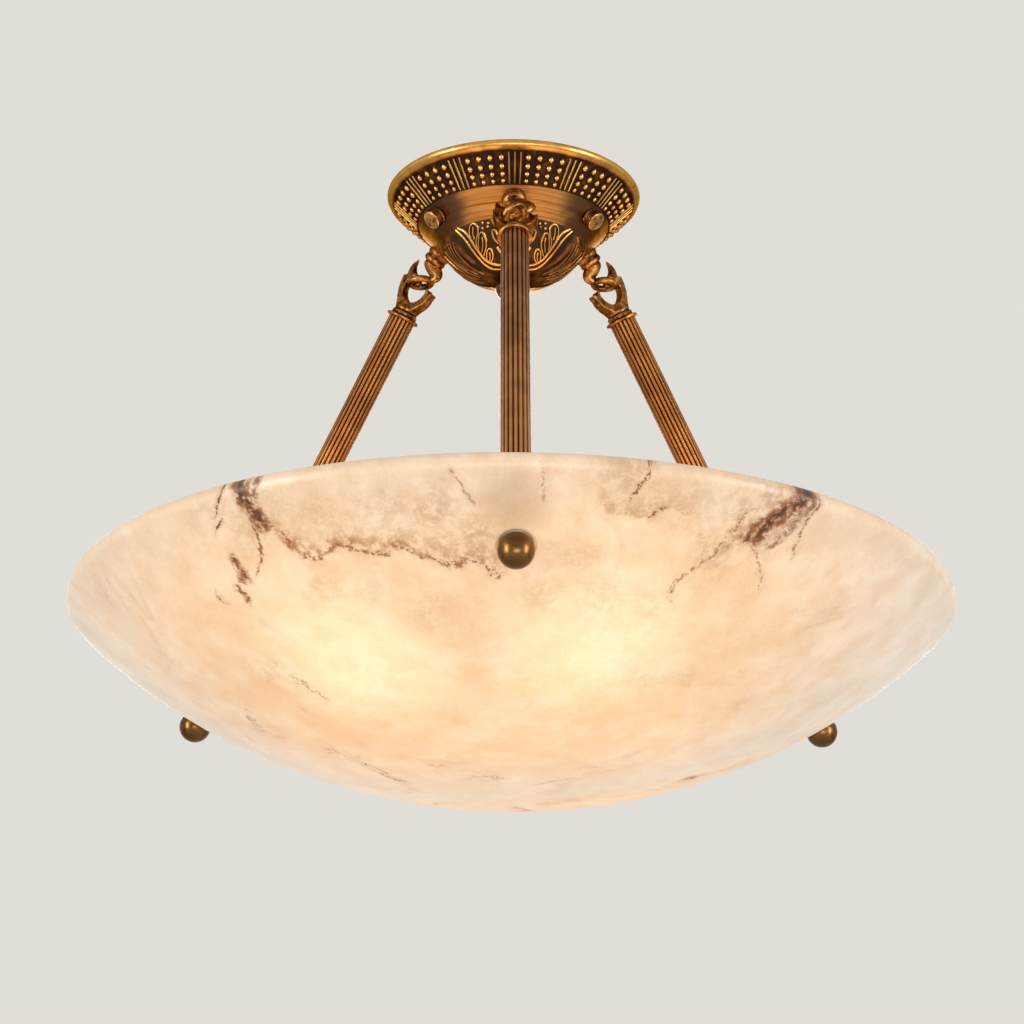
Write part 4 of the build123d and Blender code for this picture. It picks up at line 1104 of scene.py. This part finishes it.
# ---- canopy screws
# Knurled brass screws with slightly domed ends: they clamp the canopy to the mounting
# plate's legs and are turned by hand.
screw_turns = (60.0, -60.0, 180.0)
screw_along = 28.4 * MM
screw_head = 5.7 * MM
screw_reach = 6.6 * MM
screw_length = 9.0 * MM                 # of its thread, behind the canopy
screw_thread = 2.5 * MM
screw_edge = 0.9 * MM
knurl_count = 36
knurl_rows = (0.7, 1.6, 2.6, 3.6, 4.6, 5.6)   # mm up the head
knurl_depth = 0.92                      # a groove's radius as a share of the head's


def knurled_brass():
    made, tree, shader, place = finish_of("screw_brass", 0.34, 1.0)
    edges = wire(tree, "NewGeometry").outputs["Pointiness"]
    cloud = noise(place, 260.0, 4.0)
    wear_and_painted_light = plus(ramp(edges, 0.46, 0.56, 0.0, 0.9, "LINEAR"),
                    ramp(cloud, 0.35, 0.65, -0.25, 0.25))
    # Painted shade: ambient occlusion darkens the knurl grooves, on top of their dark wax.
    wear_and_painted_light = plus(wear_and_painted_light, ramp(wax_and_shade_in_hollows(tree, 1.4 * MM), 0.0, 1.0, -0.5, 0.1))
    ground, shine = (0.060, 0.028, 0.012, 1), (0.66, 0.32, 0.10, 1)
    base = blend_colours(ramp(wear_and_painted_light, 0.15, 0.85), ground, shine)
    tree.links.new(base, shader.inputs["Base Color"])
    bump(shader, cloud, 0.15 * MM, 0.6)
    return made


screw_finish = knurled_brass()
screw_outline = [(0, -screw_length), (screw_thread, -screw_length), (screw_thread, 0.1 * MM)]
screw_outline += [(screw_head - screw_edge, 0.1 * MM)] + [(screw_head, row * MM) for row in knurl_rows]
screw_outline += arc((screw_head - screw_edge, 5.7 * MM), screw_edge, 0, 70, 5)
screw_outline += [(screw_head * 0.5, screw_reach + 0.02 * MM), (0, screw_reach + 0.1 * MM)]
for number, turn in zip(("1", "2", "3"), screw_turns):
    bm = bmesh.new()
    spun(bm, screw_outline, knurl_count * 2)
    for vert in bm.verts:
        radius = math.hypot(vert.co.x, vert.co.y)
        if radius > screw_head - 0.05 * MM and vert.co.z > 1.0 * MM:
            step = round(math.degrees(math.atan2(vert.co.y, vert.co.x)) / 360 * knurl_count * 2)
            row = round(vert.co.z / MM - 1.6)
            if (step + row) % 2:
                vert.co.x *= knurl_depth
                vert.co.y *= knurl_depth
    bmesh.ops.transform(bm, matrix=slope_matrix(turn, screw_along), verts=bm.verts)
    screw = piece_of(bm, "screw_knurled_" + number, "canopy_screw_" + number, screw_finish)
    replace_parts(screw, "canopy_screw_" + number)

# ---- centre nut, stem and hub
# A flattened brass ball clamps the cup; a coupling joins the nipple to the stem, which
# carries the hub of the lamp cluster with a turned finial below.
for node in ("centre_ball_nut", "stem_coupling", "stem_tube", "cluster_hub", "hub_finial"):
    coat(node, bronzed)

# ---- lampholders
# White glazed porcelain with a rolled brass screw shell and a sprung brass contact. Each
# is screwed on a boss of the hub.


def porcelain():
    made, _, shader, _, cloud = clouded(
        "white_porcelain", 0.12, 0.0, 50.0, 3.0, ((0.80, 0.79, 0.75, 1), (0.84, 0.83, 0.80, 1)))
    shader.inputs["Coat Weight"].default_value = 0.5
    bump(shader, cloud, 0.05 * MM)
    return made


holder_glaze = porcelain()
shell_brass = clouded(
    "stamped_brass", 0.28, 1.0, 200.0, 3.0, ((0.62, 0.44, 0.17, 1), (0.74, 0.55, 0.24, 1)))[0]
lamp_numbers = ("1", "2", "3")
for number in lamp_numbers:
    coat("lampholder_" + number, holder_glaze)
coat("screw_shells", shell_brass)
coat("centre_contacts", shell_brass)

# ---- lamps
# Frosted glass globes with rolled metal screw caps. They are lit: their light fills the
# bowl and rises warm over the arms and the canopy.
glow_height = -0.268
glow_width = 0.30
glow_power = 0.3


def frosted_glass():
    made, _, shader, *_ = clouded(
        "frosted_globe", 0.35, 0.0, 40.0, 2.0, ((0.90, 0.84, 0.72, 1), (0.95, 0.90, 0.80, 1)))
    shader.inputs["Emission Color"].default_value = (1.0, 0.80, 0.52, 1)
    shader.inputs["Emission Strength"].default_value = 1.2
    return made


cap_finish = clouded(
    "lamp_cap", 0.35, 1.0, 250.0, 3.0, ((0.58, 0.57, 0.54, 1), (0.70, 0.69, 0.66, 1)))[0]
globe_finish = frosted_glass()
for number in lamp_numbers:
    coat("bulb_cap_" + number, cap_finish)
    coat("bulb_glass_" + number, globe_finish)

glow = bpy.data.lights.new("lamp_glow", "AREA")
glow.shape = "DISK"
glow.size = glow_width
glow.energy = glow_power
glow.color = (1.0, 0.66, 0.36)
glow_stand = bpy.data.objects.new("lamp_glow", glow)
studio.collection.objects.link(glow_stand)
glow_stand.matrix_world = Matrix.Translation((0, 0, glow_height)) @ Matrix.Rotation(math.pi, 4, "X")
glow_stand.visible_camera = False

bpy.context.view_layer.update()
